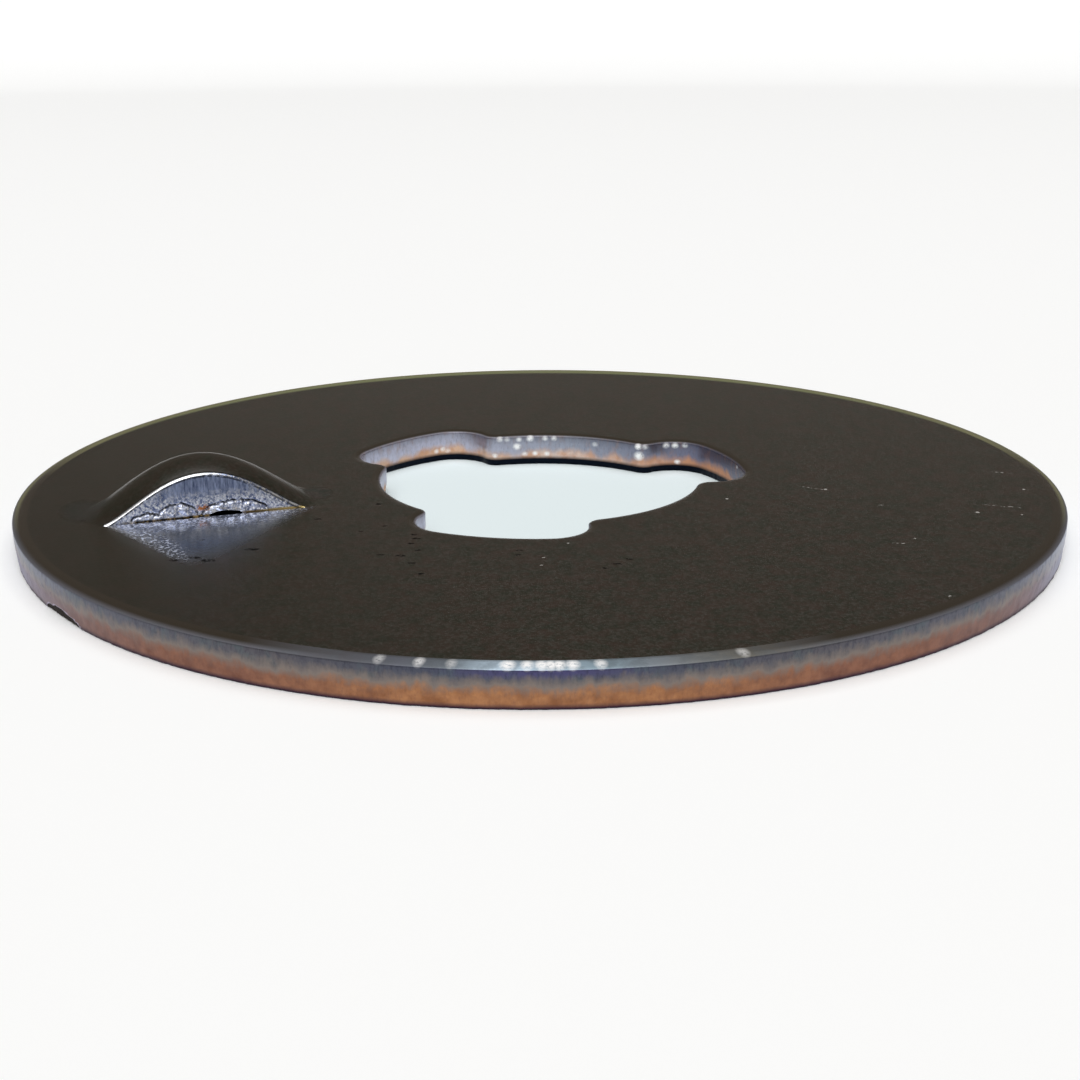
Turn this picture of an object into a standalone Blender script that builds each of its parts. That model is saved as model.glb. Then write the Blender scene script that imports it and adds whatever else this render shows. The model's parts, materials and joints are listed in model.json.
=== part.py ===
"""A thrust washer stamped from steel sheet.

It is a flat disc with a three-lobed hole. Midway between two of the lobes the sheet is lanced
along a straight slit, and the metal behind the slit is raised into a half-moon tab, hollow
beneath. Z = 0 is the lower face, the axis of the disc is Z, and the tab stands on the -X side.
"""

import math

import bmesh
import bpy
from mathutils import Matrix, Vector

MM = 0.001

# Disc
OUTER_RADIUS = 30.0 * MM
THICKNESS = 2.0 * MM
RIM_SEGMENTS = 168

# Three-lobed hole: a round bore with wide, shallow lobes. The spread is from where the bore's
# own arc ends to where it starts again, and each flank is two rounds that run into each other.
LOBE_COUNT = 3
BORE_RADIUS = 9.45 * MM
LOBE_DEPTH = 2.8 * MM
LOBE_SPREAD = math.radians(64.0)
LOBE_CORNER = 2.2 * MM
LOBE_SHOULDER = 0.9 * MM
HOLE_SPACING = 0.9 * MM

# Cut walls, from the upper face down: rolled edge, smooth sheared land, torn lower part
ROLL_WIDTH = 0.5 * MM
ROLL_DEPTH = 0.22 * MM
ROLL_STEPS = 3
SHEARED_DEPTH = 0.85 * MM
BREAKOUT = 0.1 * MM
EDGE_BREAK = 0.06 * MM

# Lanced tab: an oval bulge, cut off in front by the slit and a little longer than it
TAB_OFFSET = 0.15 * MM
SLIT_LENGTH = 11.04 * MM
TAB_OVERHANG = 0.95 * MM
TAB_LENGTH = SLIT_LENGTH + 2 * TAB_OVERHANG
TAB_WIDTH = 8.9 * MM
CREST_RISE = 2.95 * MM
LIP_DROP = 0.54 * MM
TAB_FULLNESS = 1.48
LANCE_GAP = 0.2 * MM
TAB_COLUMNS = 36
TAB_ROWS = 11

# Chip broken out of the rim's lower edge
CHIP_BEARING = math.radians(200.4)
CHIP_LENGTH = 4.3 * MM
CHIP_HEIGHT = 0.5 * MM
CHIP_DEPTH = 0.3 * MM
CHIP_TILT = math.radians(3.0)

# Oxidised steel
STEEL_COLOUR = (0.052, 0.047, 0.041, 1.0)
STEEL_METALLIC = 0.6
STEEL_ROUGHNESS = 0.42

SMOOTH_UP_TO = math.radians(32.0)


def polar(radius, bearing):
    """A point at a distance and bearing from the axis."""
    return Vector((radius * math.cos(bearing), radius * math.sin(bearing), 0.0))


def arc(centre, radius, start, end, metal_side):
    """Points along an arc without its last one, each with its unit vector into the metal.

    metal_side is 1 where the metal lies outside the arc and -1 where it lies inside.
    """
    steps = max(5, round(abs(end - start) * radius / HOLE_SPACING))
    points = []
    for step in range(steps):
        outward = polar(1.0, start + (end - start) * step / steps)
        points.append((centre + radius * outward, metal_side * outward))
    return points


def rim_outline():
    """The disc's round edge."""
    bearings = [math.tau * i / RIM_SEGMENTS for i in range(RIM_SEGMENTS)]
    return [(polar(OUTER_RADIUS, bearing), polar(-1.0, bearing)) for bearing in bearings]


def lobe_outline(middle):
    """One lobe with its two flanks, and the bore's arc up to the next lobe."""
    axis = polar(0.0, 0.0)
    lobe_radius = BORE_RADIUS + LOBE_DEPTH
    corner_reach = lobe_radius - LOBE_CORNER
    shoulder_reach = BORE_RADIUS + LOBE_SHOULDER
    centres_apart = LOBE_CORNER + LOBE_SHOULDER
    flank_turn = math.acos((corner_reach**2 + shoulder_reach**2 - centres_apart**2)
                           / (2 * corner_reach * shoulder_reach))
    to_corner = polar(corner_reach, flank_turn) - polar(shoulder_reach, 0.0)
    lean = math.pi + flank_turn - math.atan2(to_corner.y, to_corner.x)

    first_shoulder = middle - LOBE_SPREAD / 2
    first_corner = first_shoulder + flank_turn
    last_shoulder = middle + LOBE_SPREAD / 2
    last_corner = last_shoulder - flank_turn
    next_shoulder = first_shoulder + math.tau / LOBE_COUNT

    outline = arc(polar(shoulder_reach, first_shoulder), LOBE_SHOULDER,
                  first_shoulder + math.pi, first_corner - lean + math.pi, -1)
    outline += arc(polar(corner_reach, first_corner), LOBE_CORNER,
                   first_corner - lean, first_corner, 1)
    outline += arc(axis, lobe_radius, first_corner, last_corner, 1)
    outline += arc(polar(corner_reach, last_corner), LOBE_CORNER,
                   last_corner, last_corner + lean, 1)
    outline += arc(polar(shoulder_reach, last_shoulder), LOBE_SHOULDER,
                   last_corner + lean - math.pi, last_shoulder - math.pi, -1)
    outline += arc(axis, BORE_RADIUS, last_shoulder, next_shoulder, 1)
    return outline


def hole_outline():
    """The three-lobed hole, once round."""
    outline = []
    for lobe in range(LOBE_COUNT):
        outline += lobe_outline(math.tau * lobe / LOBE_COUNT)
    return outline


def cut_wall_profile():
    """A cut wall from the lower face to the upper one, as pairs of inset and height."""
    profile = [
        (BREAKOUT + EDGE_BREAK, 0.0),
        (BREAKOUT, EDGE_BREAK),
        (0.0, THICKNESS - SHEARED_DEPTH),
    ]
    for step in range(ROLL_STEPS + 1):
        turn = math.pi / 2 * step / ROLL_STEPS
        inset = ROLL_WIDTH * (1 - math.cos(turn))
        height = THICKNESS - ROLL_DEPTH * (1 - math.sin(turn))
        profile.append((inset, height))
    return profile


def tab_centre():
    """The middle of the tab's oval, on the land between the hole and the rim."""
    return Vector((-(BORE_RADIUS + OUTER_RADIUS) / 2 - TAB_OFFSET, 0.0, 0.0))


def slit_bearing():
    """How far round the oval, below its long axis, the slit's ends lie."""
    return math.acos(SLIT_LENGTH / TAB_LENGTH)


def tab_outline():
    """The raised metal's edge, from the slit's inner end round the back to its outer end."""
    below = slit_bearing()
    points = []
    for column in range(TAB_COLUMNS + 1):
        turn = -below + (math.pi + 2 * below) * column / TAB_COLUMNS
        across = Vector((TAB_LENGTH / 2 * math.cos(turn), TAB_WIDTH / 2 * math.sin(turn), 0.0))
        points.append(tab_centre() + across)
    return points


def slit_middle():
    """The middle of the slit, at the front of the tab."""
    return tab_centre() - Vector((0.0, TAB_WIDTH / 2 * math.sin(slit_bearing()), 0.0))


def tab_rise(place):
    """How far the sheet is raised at a place inside the tab's oval.

    Behind the crest the metal falls away to the flat sheet on all sides. In front of it the
    crest runs down only as far as the sheared lip.
    """
    along = (place.x - tab_centre().x) / (TAB_LENGTH / 2)
    back = place.y / (TAB_WIDTH / 2)
    half_length = 1 - back**2
    room = half_length - along**2
    if room <= 0.0:
        return 0.0
    if back >= 0.0:
        return CREST_RISE * room**TAB_FULLNESS
    toward_lip = back / math.sin(slit_bearing())
    crest = CREST_RISE - LIP_DROP * toward_lip**2
    return crest * (room / half_length) ** TAB_FULLNESS


def drawn_back(place):
    """A place on the tab once the slit has opened: the lip stands back from the sheet."""
    depth = (place.y - slit_middle().y) / TAB_WIDTH
    along = (place.x - tab_centre().x) / (SLIT_LENGTH / 2)
    opening = LANCE_GAP * math.sqrt(max(0.0, 1 - along**2))
    return place + Vector((0.0, opening * (1 - depth), 0.0))


def add_outline(mesh, outline, into_metal):
    """A closed ring of edges, whose vertices remember which way the metal lies."""
    ring = []
    for point, inward in outline:
        vertex = mesh.verts.new(point)
        vertex[into_metal] = inward
        ring.append(vertex)
    return [mesh.edges.new((a, b)) for a, b in zip(ring, ring[1:] + ring[:1])]


def add_tab(mesh):
    """The tab as a fan of rows round the middle of the slit. Returns its edges on the sheet."""
    middle = slit_middle()
    outline = tab_outline()
    centre = mesh.verts.new(middle)
    rows = []
    for row in range(1, TAB_ROWS + 1):
        reach = row / TAB_ROWS
        rows.append([mesh.verts.new(middle.lerp(point, reach)) for point in outline])
    for column in range(TAB_COLUMNS):
        mesh.faces.new((centre, rows[0][column], rows[0][column + 1]))
        for near, far in zip(rows, rows[1:]):
            mesh.faces.new((near[column], far[column], far[column + 1], near[column + 1]))
    for vertex in [centre] + [vertex for row in rows[:-1] for vertex in row]:
        place = vertex.co.copy()
        vertex.co = drawn_back(place)
        vertex.co.z = tab_rise(place)
    edge_row = rows[-1]
    seam = [mesh.edges.get((a, b)) for a, b in zip(edge_row, edge_row[1:])]
    slit_front = mesh.edges.new((edge_row[0], edge_row[-1]))
    return seam + [slit_front]


def shape_cut_walls(mesh, into_metal):
    """Give the rim's and the hole's walls the profile that the press leaves."""
    profile = cut_wall_profile()
    upright = [
        edge for edge in mesh.edges
        if all(vertex[into_metal].length > 0.5 for vertex in edge.verts)
        and abs(edge.verts[0].co.z - edge.verts[1].co.z) > THICKNESS / 2
    ]
    bmesh.ops.subdivide_edges(mesh, edges=upright, cuts=len(profile) - 2, use_grid_fill=True)
    for vertex in mesh.verts:
        inward = vertex[into_metal]
        if inward.length > 0.5:
            inset, height = profile[round(vertex.co.z / THICKNESS * (len(profile) - 1))]
            vertex.co += inset * inward.normalized()
            vertex.co.z = height


def washer_mesh():
    """The sheet's lower face with its hole and tab, given its thickness and its cut walls."""
    mesh = bmesh.new()
    into_metal = mesh.verts.layers.float_vector.new("into_metal")
    edges = add_outline(mesh, rim_outline(), into_metal)
    edges += add_outline(mesh, hole_outline(), into_metal)
    edges += add_tab(mesh)
    bmesh.ops.triangle_fill(mesh, edges=edges, use_beauty=True)
    raised = bmesh.ops.extrude_face_region(mesh, geom=mesh.faces[:])
    upper = [item for item in raised["geom"] if isinstance(item, bmesh.types.BMVert)]
    bmesh.ops.translate(mesh, verts=upper, vec=(0.0, 0.0, THICKNESS))
    shape_cut_walls(mesh, into_metal)
    bmesh.ops.recalc_face_normals(mesh, faces=mesh.faces[:])
    return mesh


def add_object(name, mesh):
    """Put a finished bmesh into the scene under a name."""
    data = bpy.data.meshes.new(name)
    mesh.to_mesh(data)
    mesh.free()
    added = bpy.data.objects.new(name, data)
    bpy.context.scene.collection.objects.link(added)
    return added


def chip_cutter():
    """A long thin lump astride the rim's lower edge, whose bite leaves the chip."""
    mesh = bmesh.new()
    half_size = (CHIP_DEPTH, CHIP_LENGTH / 2, CHIP_HEIGHT)
    lump = Matrix.Diagonal((*half_size, 1.0))
    tilt = Matrix.Rotation(-CHIP_TILT, 4, "X")
    at_edge = Matrix.Translation((OUTER_RADIUS - BREAKOUT, 0.0, 0.0))
    turn = Matrix.Rotation(CHIP_BEARING, 4, "Z")
    bmesh.ops.create_icosphere(mesh, subdivisions=3, radius=1.0, matrix=turn @ at_edge @ tilt @ lump)
    cutter = add_object("chip_cutter", mesh)
    cutter.hide_render = True
    cutter.display_type = "WIRE"
    return cutter


def oxidised_steel():
    """Dark satin oxide, as rolled and heat-treated sheet has it."""
    material = bpy.data.materials.new("oxidised_steel")
    material.use_nodes = True
    shader = material.node_tree.nodes["Principled BSDF"]
    shader.inputs["Base Color"].default_value = STEEL_COLOUR
    shader.inputs["Metallic"].default_value = STEEL_METALLIC
    shader.inputs["Roughness"].default_value = STEEL_ROUGHNESS
    return material


def build():
    """Model the washer."""
    for old in list(bpy.data.objects):
        bpy.data.objects.remove(old, do_unlink=True)
    washer = add_object("thrust_washer", washer_mesh())
    washer.data.materials.append(oxidised_steel())
    washer.data.shade_smooth()
    washer.data.set_sharp_from_angle(angle=SMOOTH_UP_TO)
    chip = washer.modifiers.new("rim_chip", "BOOLEAN")
    chip.operation = "DIFFERENCE"
    chip.object = chip_cutter()


build()
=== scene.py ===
"""The looks of a thrust washer stamped from oxidised steel sheet.

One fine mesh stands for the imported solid. It has the press's marks that the solid leaves plain:
the rolled edges, the toothed line where shearing gave way to tearing, the torn metal under the
tab's sheared face, and the chip in the rim. Lengths are in metres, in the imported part's frame.
"""

import json
import math

import bmesh
import bpy
from mathutils import Matrix, Vector, noise


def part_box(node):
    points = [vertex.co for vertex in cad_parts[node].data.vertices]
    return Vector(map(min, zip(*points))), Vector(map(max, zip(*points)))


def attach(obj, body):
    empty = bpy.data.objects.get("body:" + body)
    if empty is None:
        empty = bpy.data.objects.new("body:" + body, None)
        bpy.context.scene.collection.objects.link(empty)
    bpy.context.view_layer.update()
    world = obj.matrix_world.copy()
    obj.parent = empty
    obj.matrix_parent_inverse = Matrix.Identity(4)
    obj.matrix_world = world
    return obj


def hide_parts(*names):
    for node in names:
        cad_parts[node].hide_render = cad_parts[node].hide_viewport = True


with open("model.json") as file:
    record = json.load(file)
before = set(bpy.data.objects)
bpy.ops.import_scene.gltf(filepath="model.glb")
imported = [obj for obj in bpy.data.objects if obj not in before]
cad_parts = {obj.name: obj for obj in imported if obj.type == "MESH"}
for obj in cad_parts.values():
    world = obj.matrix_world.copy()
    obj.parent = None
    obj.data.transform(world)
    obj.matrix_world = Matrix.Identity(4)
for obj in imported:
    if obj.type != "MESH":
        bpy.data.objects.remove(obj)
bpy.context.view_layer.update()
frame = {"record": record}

MM = 0.001
NEAR = 0.01 * MM
NODE = "thrust_washer"

# Disc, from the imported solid
LOW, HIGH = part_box(NODE)
OUTER_RADIUS = (HIGH.x - LOW.x) / 2
UPPER_FACE = next(mount for mount in frame["record"]["mounts"] if mount["name"] == "upper_face")
THICKNESS = UPPER_FACE["pos_m"][2]
RIM_SEGMENTS = 1200

# Three-lobed hole, as in the solid
LOBE_COUNT = 3
BORE_RADIUS = 9.45 * MM
LOBE_DEPTH = 2.8 * MM
LOBE_SPREAD = math.radians(64.0)
LOBE_CORNER = 2.2 * MM
LOBE_SHOULDER = 0.9 * MM
HOLE_SPACING = 0.12 * MM

# Cut walls of the rim and the hole
RIM_ROLL = 0.78 * MM
HOLE_ROLL = 0.5 * MM
ROLL_DEPTH = 0.14 * MM
ROLL_STEPS = 8
ROLL_DENT = 0.016 * MM
ROLL_DENT_PITCH = 0.65 * MM
FLAT_RING = 0.1 * MM
BREAKOUT = 0.1 * MM
EDGE_BREAK = 0.08 * MM
EDGE_STEPS = 3
WALL_ROW = 0.12 * MM
RIM_TEAR = 1.08 * MM
HOLE_TEAR = 0.82 * MM
TEAR_FRINGE = 0.3 * MM
TOOTH_HEIGHT = 0.42 * MM
TOOTH_PITCH = 1.5 * MM
TEAR_STEP = 0.035 * MM
TORN_RELIEF = 0.035 * MM
TORN_GRAIN = 0.32 * MM

# Lanced tab: an oval bulge, cut off in front by the slit
SLIT_LENGTH = 11.04 * MM
TAB_OVERHANG = 0.95 * MM
TAB_LENGTH = SLIT_LENGTH + 2 * TAB_OVERHANG
TAB_WIDTH = 8.9 * MM
TAB_OFFSET = 0.15 * MM
TAB_MIDDLE = -(BORE_RADIUS + OUTER_RADIUS) / 2 - TAB_OFFSET
SLIT_LINE = -TAB_WIDTH / 2 * math.sin(math.acos(SLIT_LENGTH / TAB_LENGTH))
CREST_RISE = HIGH.z - THICKNESS
LIP_DROP = 0.54 * MM
TAB_FULLNESS = 1.48
LANCE_GAP = 0.2 * MM
SLIT_COLUMNS = 208
PATCH_COLUMNS = 250
PATCH_ROWS = 50
PATCH_LENGTH = SLIT_LENGTH * PATCH_COLUMNS / SLIT_COLUMNS
PATCH_DEPTH = 1.05 * (TAB_WIDTH / 2 - SLIT_LINE)
FACE_ROWS = 56
LIP_ROLL = 0.15 * MM
LIP_STEPS = 6
FLUTE_DEPTH = 0.012 * MM
FLUTE_WIDTH = 0.3 * MM

# Torn metal under the tab's sheared face: rounded bulges along the slit, each with its middle
# and half width as shares of half the slit's length, and its height above the sheet
TORN_BULGES = (
    (-0.56, 0.17, 0.40 * MM),
    (-0.27, 0.20, 0.80 * MM),
    (0.29, 0.33, 0.74 * MM),
)
BULGE_DEPTH = 0.08 * MM
BULGE_RELIEF = 0.07 * MM
BULGE_GRAIN = 0.13 * MM
CRACK_WIDTH = 0.06 * MM
CRACK_DEPTH = 0.12 * MM
CRACK_BENDS = 0.38 * MM
CRACK_RAGGED = 0.09 * MM
SLOT_MIDDLE = 0.195
SLOT_HALF_WIDTH = 0.165
SLOT_HEIGHT = 0.24 * MM
SLOT_RIM_ROWS = 5
UNDER_LIP_SHADE = 0.8
SKIRT_DEPTH = 0.3 * MM
SKIRT_WIDTH = 0.5 * MM

# Chip broken out of the rim's lower edge
CHIP_BEARING = math.radians(200.4)
CHIP_LENGTH = 4.3 * MM
CHIP_HEIGHT = 0.5 * MM
CHIP_DEPTH = 0.08 * MM
CHIP_GRAIN = 0.4 * MM
CHIP_RAGGED = 0.12

SMOOTH_UP_TO = math.radians(34.0)
FLAT_ENOUGH = math.cos(math.radians(0.3))

# Marks on the upper face, by their places in millimetres. Bearings are in degrees.
# Lines that bound the patch of burnish in front of the slit, which also carries a painted
# reflection of the tab's face
BURNISHED_LEFT = (-25.1, -1.9, 22.1)
BURNISHED_RIGHT = (-14.7, -2.0, 138.6)
BURNISHED_FOOT = (-21.6, -9.9, 90.0)
CREST_TAILS = ((-26.1, 0.9, 3.0, 5.0, 0.0), (-13.3, 0.3, 2.0, 3.0, 0.0))
PALE_SPECK_EDGE = (-23.2, -6.0, 8.6, 2.6, -67.9)
PIT_BEARING = -18.0
PIT_FLATNESS = 0.55
PITS = (
    (-10.4, -3.0, 0.5), (-11.0, -7.1, 0.4), (-12.4, -7.6, 0.35), (-9.9, -9.1, 0.55),
    (-9.9, -9.8, 0.55), (-10.4, -10.5, 0.4), (-10.3, -11.7, 0.4), (-11.4, -12.3, 0.7),
    (-12.3, -11.8, 0.55), (-11.1, -13.6, 0.55), (-11.1, -15.3, 0.5), (-5.4, -13.4, 0.5),
    (-5.7, -14.1, 0.45), (-0.6, -16.5, 0.5), (-1.5, -17.0, 0.6), (-2.2, -17.4, 0.4),
    (-22.3, -9.3, 0.7), (-21.3, -9.2, 0.8), (-20.7, -9.9, 0.9), (-18.3, -8.8, 0.9),
    (-20.5, -6.4, 0.3), (-23.1, -6.3, 0.45), (-14.2, -4.7, 0.6), (-26.3, -0.9, 0.35),
)
BRIGHT_DOTS = (
    (14.5, -8.5, 0.26), (20.2, -15.2, 0.28), (22.2, -16.4, 0.16), (14.6, -18.2, 0.12),
    (11.6, -26.4, 0.16), (-2.7, -13.1, 0.16), (-5.1, -16.0, 0.16), (-4.6, -14.9, 0.12),
    (25.2, -12.2, 0.24), (8.4, -8.4, 0.22),
)
SCRATCHES = (
    (13.9, -8.0, 1.9, -50.0), (26.0, -8.7, 1.4, -41.0), (22.2, -14.7, 2.5, -38.0),
    (13.4, -18.6, 1.2, -19.0), (15.9, -12.3, 0.4, -19.0),
)
SCRATCH_WIDTH = 0.11
RAGGED_PITCH = 0.3
RAGGED_REACH = 0.3
RUST_SPOT = (-20.0, -2.1, 0.8, 1.2, 0.0)

# Painted reflection along the back of the rim, a pale olive line, in millimetres: it is what lies
# outside a circle whose middle is set off towards the camera
BACK_REFLECTION_RADIUS = 29.45
BACK_REFLECTION_OFFSET = 1.1
BACK_REFLECTION_FADE = 0.4

# Painted glints on the rim's rolled edge, round white spots that stand in for highlights: bearing
# from the rim's front in degrees, size in millimetres and how strong each is
RIM_GLINTS = (
    (-13.4, 0.45, 0.4), (-10.0, 0.45, 0.6), (-7.3, 0.45, 0.35), (-2.7, 0.6, 1.0),
    (-1.1, 0.5, 0.9), (0.1, 0.55, 1.0), (0.8, 0.55, 1.0), (1.5, 0.55, 1.0), (2.6, 0.55, 0.95),
    (4.9, 0.5, 0.7), (17.0, 0.5, 0.4),
)

# Painted glints on the hole's far wall, round white spots that stand in for highlights: place in
# millimetres, size and how strong each is
HOLE_GLINTS = (
    (0.35, 9.45, 1.88, 0.45, 0.7), (0.82, 9.42, 1.84, 0.4, 0.5), (1.6, 9.31, 1.80, 0.4, 0.7),
    (2.31, 9.17, 1.85, 0.5, 0.9), (3.24, 8.88, 1.84, 0.4, 0.7), (3.79, 8.66, 1.84, 0.4, 0.7),
    (1.47, 9.34, 1.34, 0.55, 0.9), (6.1, 7.22, 1.60, 0.4, 0.5), (8.15, 4.84, 1.86, 0.5, 1.0),
    (8.55, 4.62, 1.86, 0.4, 0.6), (10.03, 4.72, 1.81, 0.45, 0.8), (10.59, 4.56, 1.80, 0.45, 0.9),
    (11.14, 4.23, 1.84, 0.4, 0.6), (8.21, 4.79, 1.23, 0.75, 1.0), (-2.85, 11.89, 0.88, 0.4, 0.7),
    (-3.28, 11.81, 0.80, 0.4, 0.7), (-2.51, 11.89, 0.75, 0.4, 0.6), (0.02, 9.51, 0.78, 0.4, 0.8),
    (2.62, 9.09, 0.83, 0.4, 0.9), (3.36, 8.84, 0.80, 0.4, 0.8), (1.98, 9.25, 0.80, 0.4, 0.7),
    (10.72, 4.5, 0.70, 0.4, 1.0), (12.16, -1.46, 1.80, 0.3, 0.6),
)

# A glint on the rim is longer than its size, wider than the roll and taller than the roll is
# deep, by these factors. One on the hole's wall is longer than its size and has its own width.
RIM_GLINT_LENGTHEN = 1.4
RIM_GLINT_WIDEN = 1.3
RIM_GLINT_HEIGHTEN = 5
HOLE_GLINT_LENGTHEN = 1.2
HOLE_GLINT_WIDTH = 0.6
HOLE_GLINT_DROP = 0.1
GLINT_CORE = 0.3

# Where the cut walls change, in millimetres: between the hole's wall and the rim's, and where the
# painted grey highlight on the rim's rolled edge begins to give way and has ended, to the left and
# right of the line towards the camera
HOLE_WALL_TO = 19.0
RIM_WALL_FROM = 20.0
RIM_HIGHLIGHT_FULL = 8.0
RIM_HIGHLIGHT_END = 13.0

# Sizes of the finishes' patterns, in millimetres. The grain of mill scale and the streaks and
# grit of sheared and torn steel are finer than the render can show, so they are drawn a few
# times coarser.
SCALE_MOTTLE = 0.8
SCALE_GRAIN = 0.16
SCALE_SPECK = 0.2
SHEAR_STREAK = 0.35
SHEAR_SCORE = 0.16
TEAR_GRIT = 0.2
RUST_BLOTCH = 0.7
WALL_STAIN = 1.1
OXIDE_DOT = 0.4
GLINT_GRAIN = 0.16
BRIGHT_STREAK = 0.14
BRIGHT_GRIT = 0.17
BRIGHT_SPECK = 0.11
TORN_PATCH = 0.4
RUST_PATCH = 0.9
RUST_DASH = 0.45
CRACK_PIECE = 0.25

# Streaks are noise that changes less up and down than sideways, by these shares
SHEAR_STRETCH = (1.0, 1.0, 0.4)
BRIGHT_STRETCH = (1.0, 1.0, 0.15)

# How deep the finishes' grain is
GRAIN_HEIGHT = 0.03 * MM

# The washer's finishes, in the order of its material slots
SKIN, CUT, LANCED = 0, 1, 2

# Camera, from the photo's perspective: it looks a little down from close to the sheet
CAMERA_AZIMUTH = math.radians(-17.8452)
CAMERA_PITCH = math.radians(18.006)
CAMERA_ROLL = math.radians(-0.3323)
CAMERA_AWAY = 92.357 * MM
CAMERA_HEIGHT = 25.879 * MM
CAMERA_LENS = 53.69
CAMERA_SENSOR = 36.0
CLIP_NEAR = 5.0 * MM
CLIP_FAR = 20.0

# Paper under the washer
PAPER_GAP = 0.01 * MM
PAPER_FLAT = 600.0 * MM
PAPER_SEGMENTS = 96
SWEEP_RADIUS = 190.0 * MM
SWEEP_TURN = math.radians(40.0)
SWEEP_STEPS = 12
HOLE_SHADE_TO = 15.45 * MM

# Light: levels are shares of plain light
LAMP_AWAY = 6.0
OVERHEAD_WIDTH = 6.5
OVERHEAD_LEVEL = 0.59
FRONT_ELEVATION = math.radians(42.0)
FRONT_WIDTH = 4.2
FRONT_LEVEL = 0.55
SMALL_LAMP_ELEVATION = math.radians(50.0)
SMALL_LAMP_WIDTH = 0.5
SMALL_LAMP_LEVEL = 0.14
ROOM_COLOUR = "#68615A"
BEHIND_PAPER = "#FAFAF9"

# Sockets of the Mix node when it mixes colours
FACTOR, COLOUR_A, COLOUR_B, MIXED = 0, 6, 7, 2


def polar(radius, bearing):
    """A point at a distance and bearing from the axis."""
    return Vector((radius * math.cos(bearing), radius * math.sin(bearing), 0.0))


def rising(value, start, end):
    """0 below the start and 1 above the end, with a smooth rise between them."""
    share = min(1.0, max(0.0, (value - start) / (end - start)))
    return share * share * (3 - 2 * share)


def ripple(place, size):
    """Smooth noise from -1 to 1, with waves of about the given size."""
    return noise.noise(place / size)


def sketch_hole(mesh, margin):
    """The three-lobed hole with a margin, drawn by turning a point through each lobe's arcs."""
    lobe_radius = BORE_RADIUS + LOBE_DEPTH
    corner_reach = lobe_radius - LOBE_CORNER
    shoulder_reach = BORE_RADIUS + LOBE_SHOULDER
    centres_apart = LOBE_CORNER + LOBE_SHOULDER
    flank_turn = math.acos((corner_reach**2 + shoulder_reach**2 - centres_apart**2)
                           / (2 * corner_reach * shoulder_reach))
    to_corner = polar(corner_reach, flank_turn) - polar(shoulder_reach, 0.0)
    lean = math.pi + flank_turn - math.atan2(to_corner.y, to_corner.x)
    half = LOBE_SPREAD / 2
    first = mesh.verts.new(polar(BORE_RADIUS + margin, -half))
    last = first
    for lobe in range(LOBE_COUNT):
        middle = math.tau * lobe / LOBE_COUNT
        bends = (
            (polar(shoulder_reach, middle - half), flank_turn - lean),
            (polar(corner_reach, middle - half + flank_turn), lean),
            (polar(0.0, 0.0), LOBE_SPREAD - 2 * flank_turn),
            (polar(corner_reach, middle + half - flank_turn), lean),
            (polar(shoulder_reach, middle + half), flank_turn - lean),
            (polar(0.0, 0.0), math.tau / LOBE_COUNT - LOBE_SPREAD),
        )
        for centre, angle in bends:
            reach = (last.co - centre).length
            steps = math.ceil(abs(angle) * reach / HOLE_SPACING)
            drawn = bmesh.ops.spin(mesh, geom=[last], cent=centre, axis=(0.0, 0.0, 1.0),
                                   dvec=(0.0, 0.0, 0.0), angle=angle, steps=steps,
                                   use_merge=False, use_duplicate=False)
            last = next(item for item in drawn["geom_last"] if isinstance(item, bmesh.types.BMVert))
    bmesh.ops.weld_verts(mesh, targetmap={last: first})


def along_slit(place):
    """A place's share of the way from the slit's middle to its ends, -1 outer to 1 inner."""
    return (place.x - TAB_MIDDLE) / (SLIT_LENGTH / 2)


def on_slit(place):
    """Whether a place lies on the slit or straight above it."""
    return abs(place.y - SLIT_LINE) < NEAR and abs(place.x - TAB_MIDDLE) < SLIT_LENGTH / 2 + NEAR


def lance_opening(along):
    """How far the raised lip stands back from the sheet."""
    return LANCE_GAP * math.sqrt(max(0.0, 1 - along**2))


def tab_rise(place):
    """How far the sheet is raised at a place inside the tab's oval.

    Behind the crest the metal falls away to the flat sheet on all sides. In front of it the
    crest runs down only as far as the sheared lip.
    """
    along = (place.x - TAB_MIDDLE) / (TAB_LENGTH / 2)
    back = place.y / (TAB_WIDTH / 2)
    half_length = 1 - back**2
    room = half_length - along**2
    if room <= 0.0:
        return 0.0
    if back >= 0.0:
        return CREST_RISE * room**TAB_FULLNESS
    crest = CREST_RISE - LIP_DROP * (place.y / SLIT_LINE) ** 2
    return crest * (room / half_length) ** TAB_FULLNESS


def crack_height(along):
    """Height above the sheet of the crack that parts the sheared face from the torn bulges."""
    height = 0.0
    for middle, half_width, tallest in TORN_BULGES:
        across = (along - middle) / half_width
        height = max(height, tallest * math.sqrt(max(0.0, 1 - across**2)))
    return height


def lip_bottom(along, rise):
    """Height above the sheet of the lip's lower edge, which hangs torn but for one arched slot."""
    across = (along - SLOT_MIDDLE) / SLOT_HALF_WIDTH
    if abs(across) < 1.0:
        return SLOT_HEIGHT * math.sqrt(1 - across**2)
    return min(rise - THICKNESS, -SKIRT_DEPTH)


def tab_patch(mesh):
    """A fine grid over the tab and a little of the sheet round it."""
    place = Matrix.Translation((TAB_MIDDLE, SLIT_LINE + PATCH_DEPTH / 2, 0.0))
    size = Matrix.Diagonal((PATCH_LENGTH / 2, PATCH_DEPTH / 2, 1.0, 1.0))
    bmesh.ops.create_grid(mesh, x_segments=PATCH_COLUMNS, y_segments=PATCH_ROWS, size=1.0,
                          matrix=place @ size)


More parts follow.
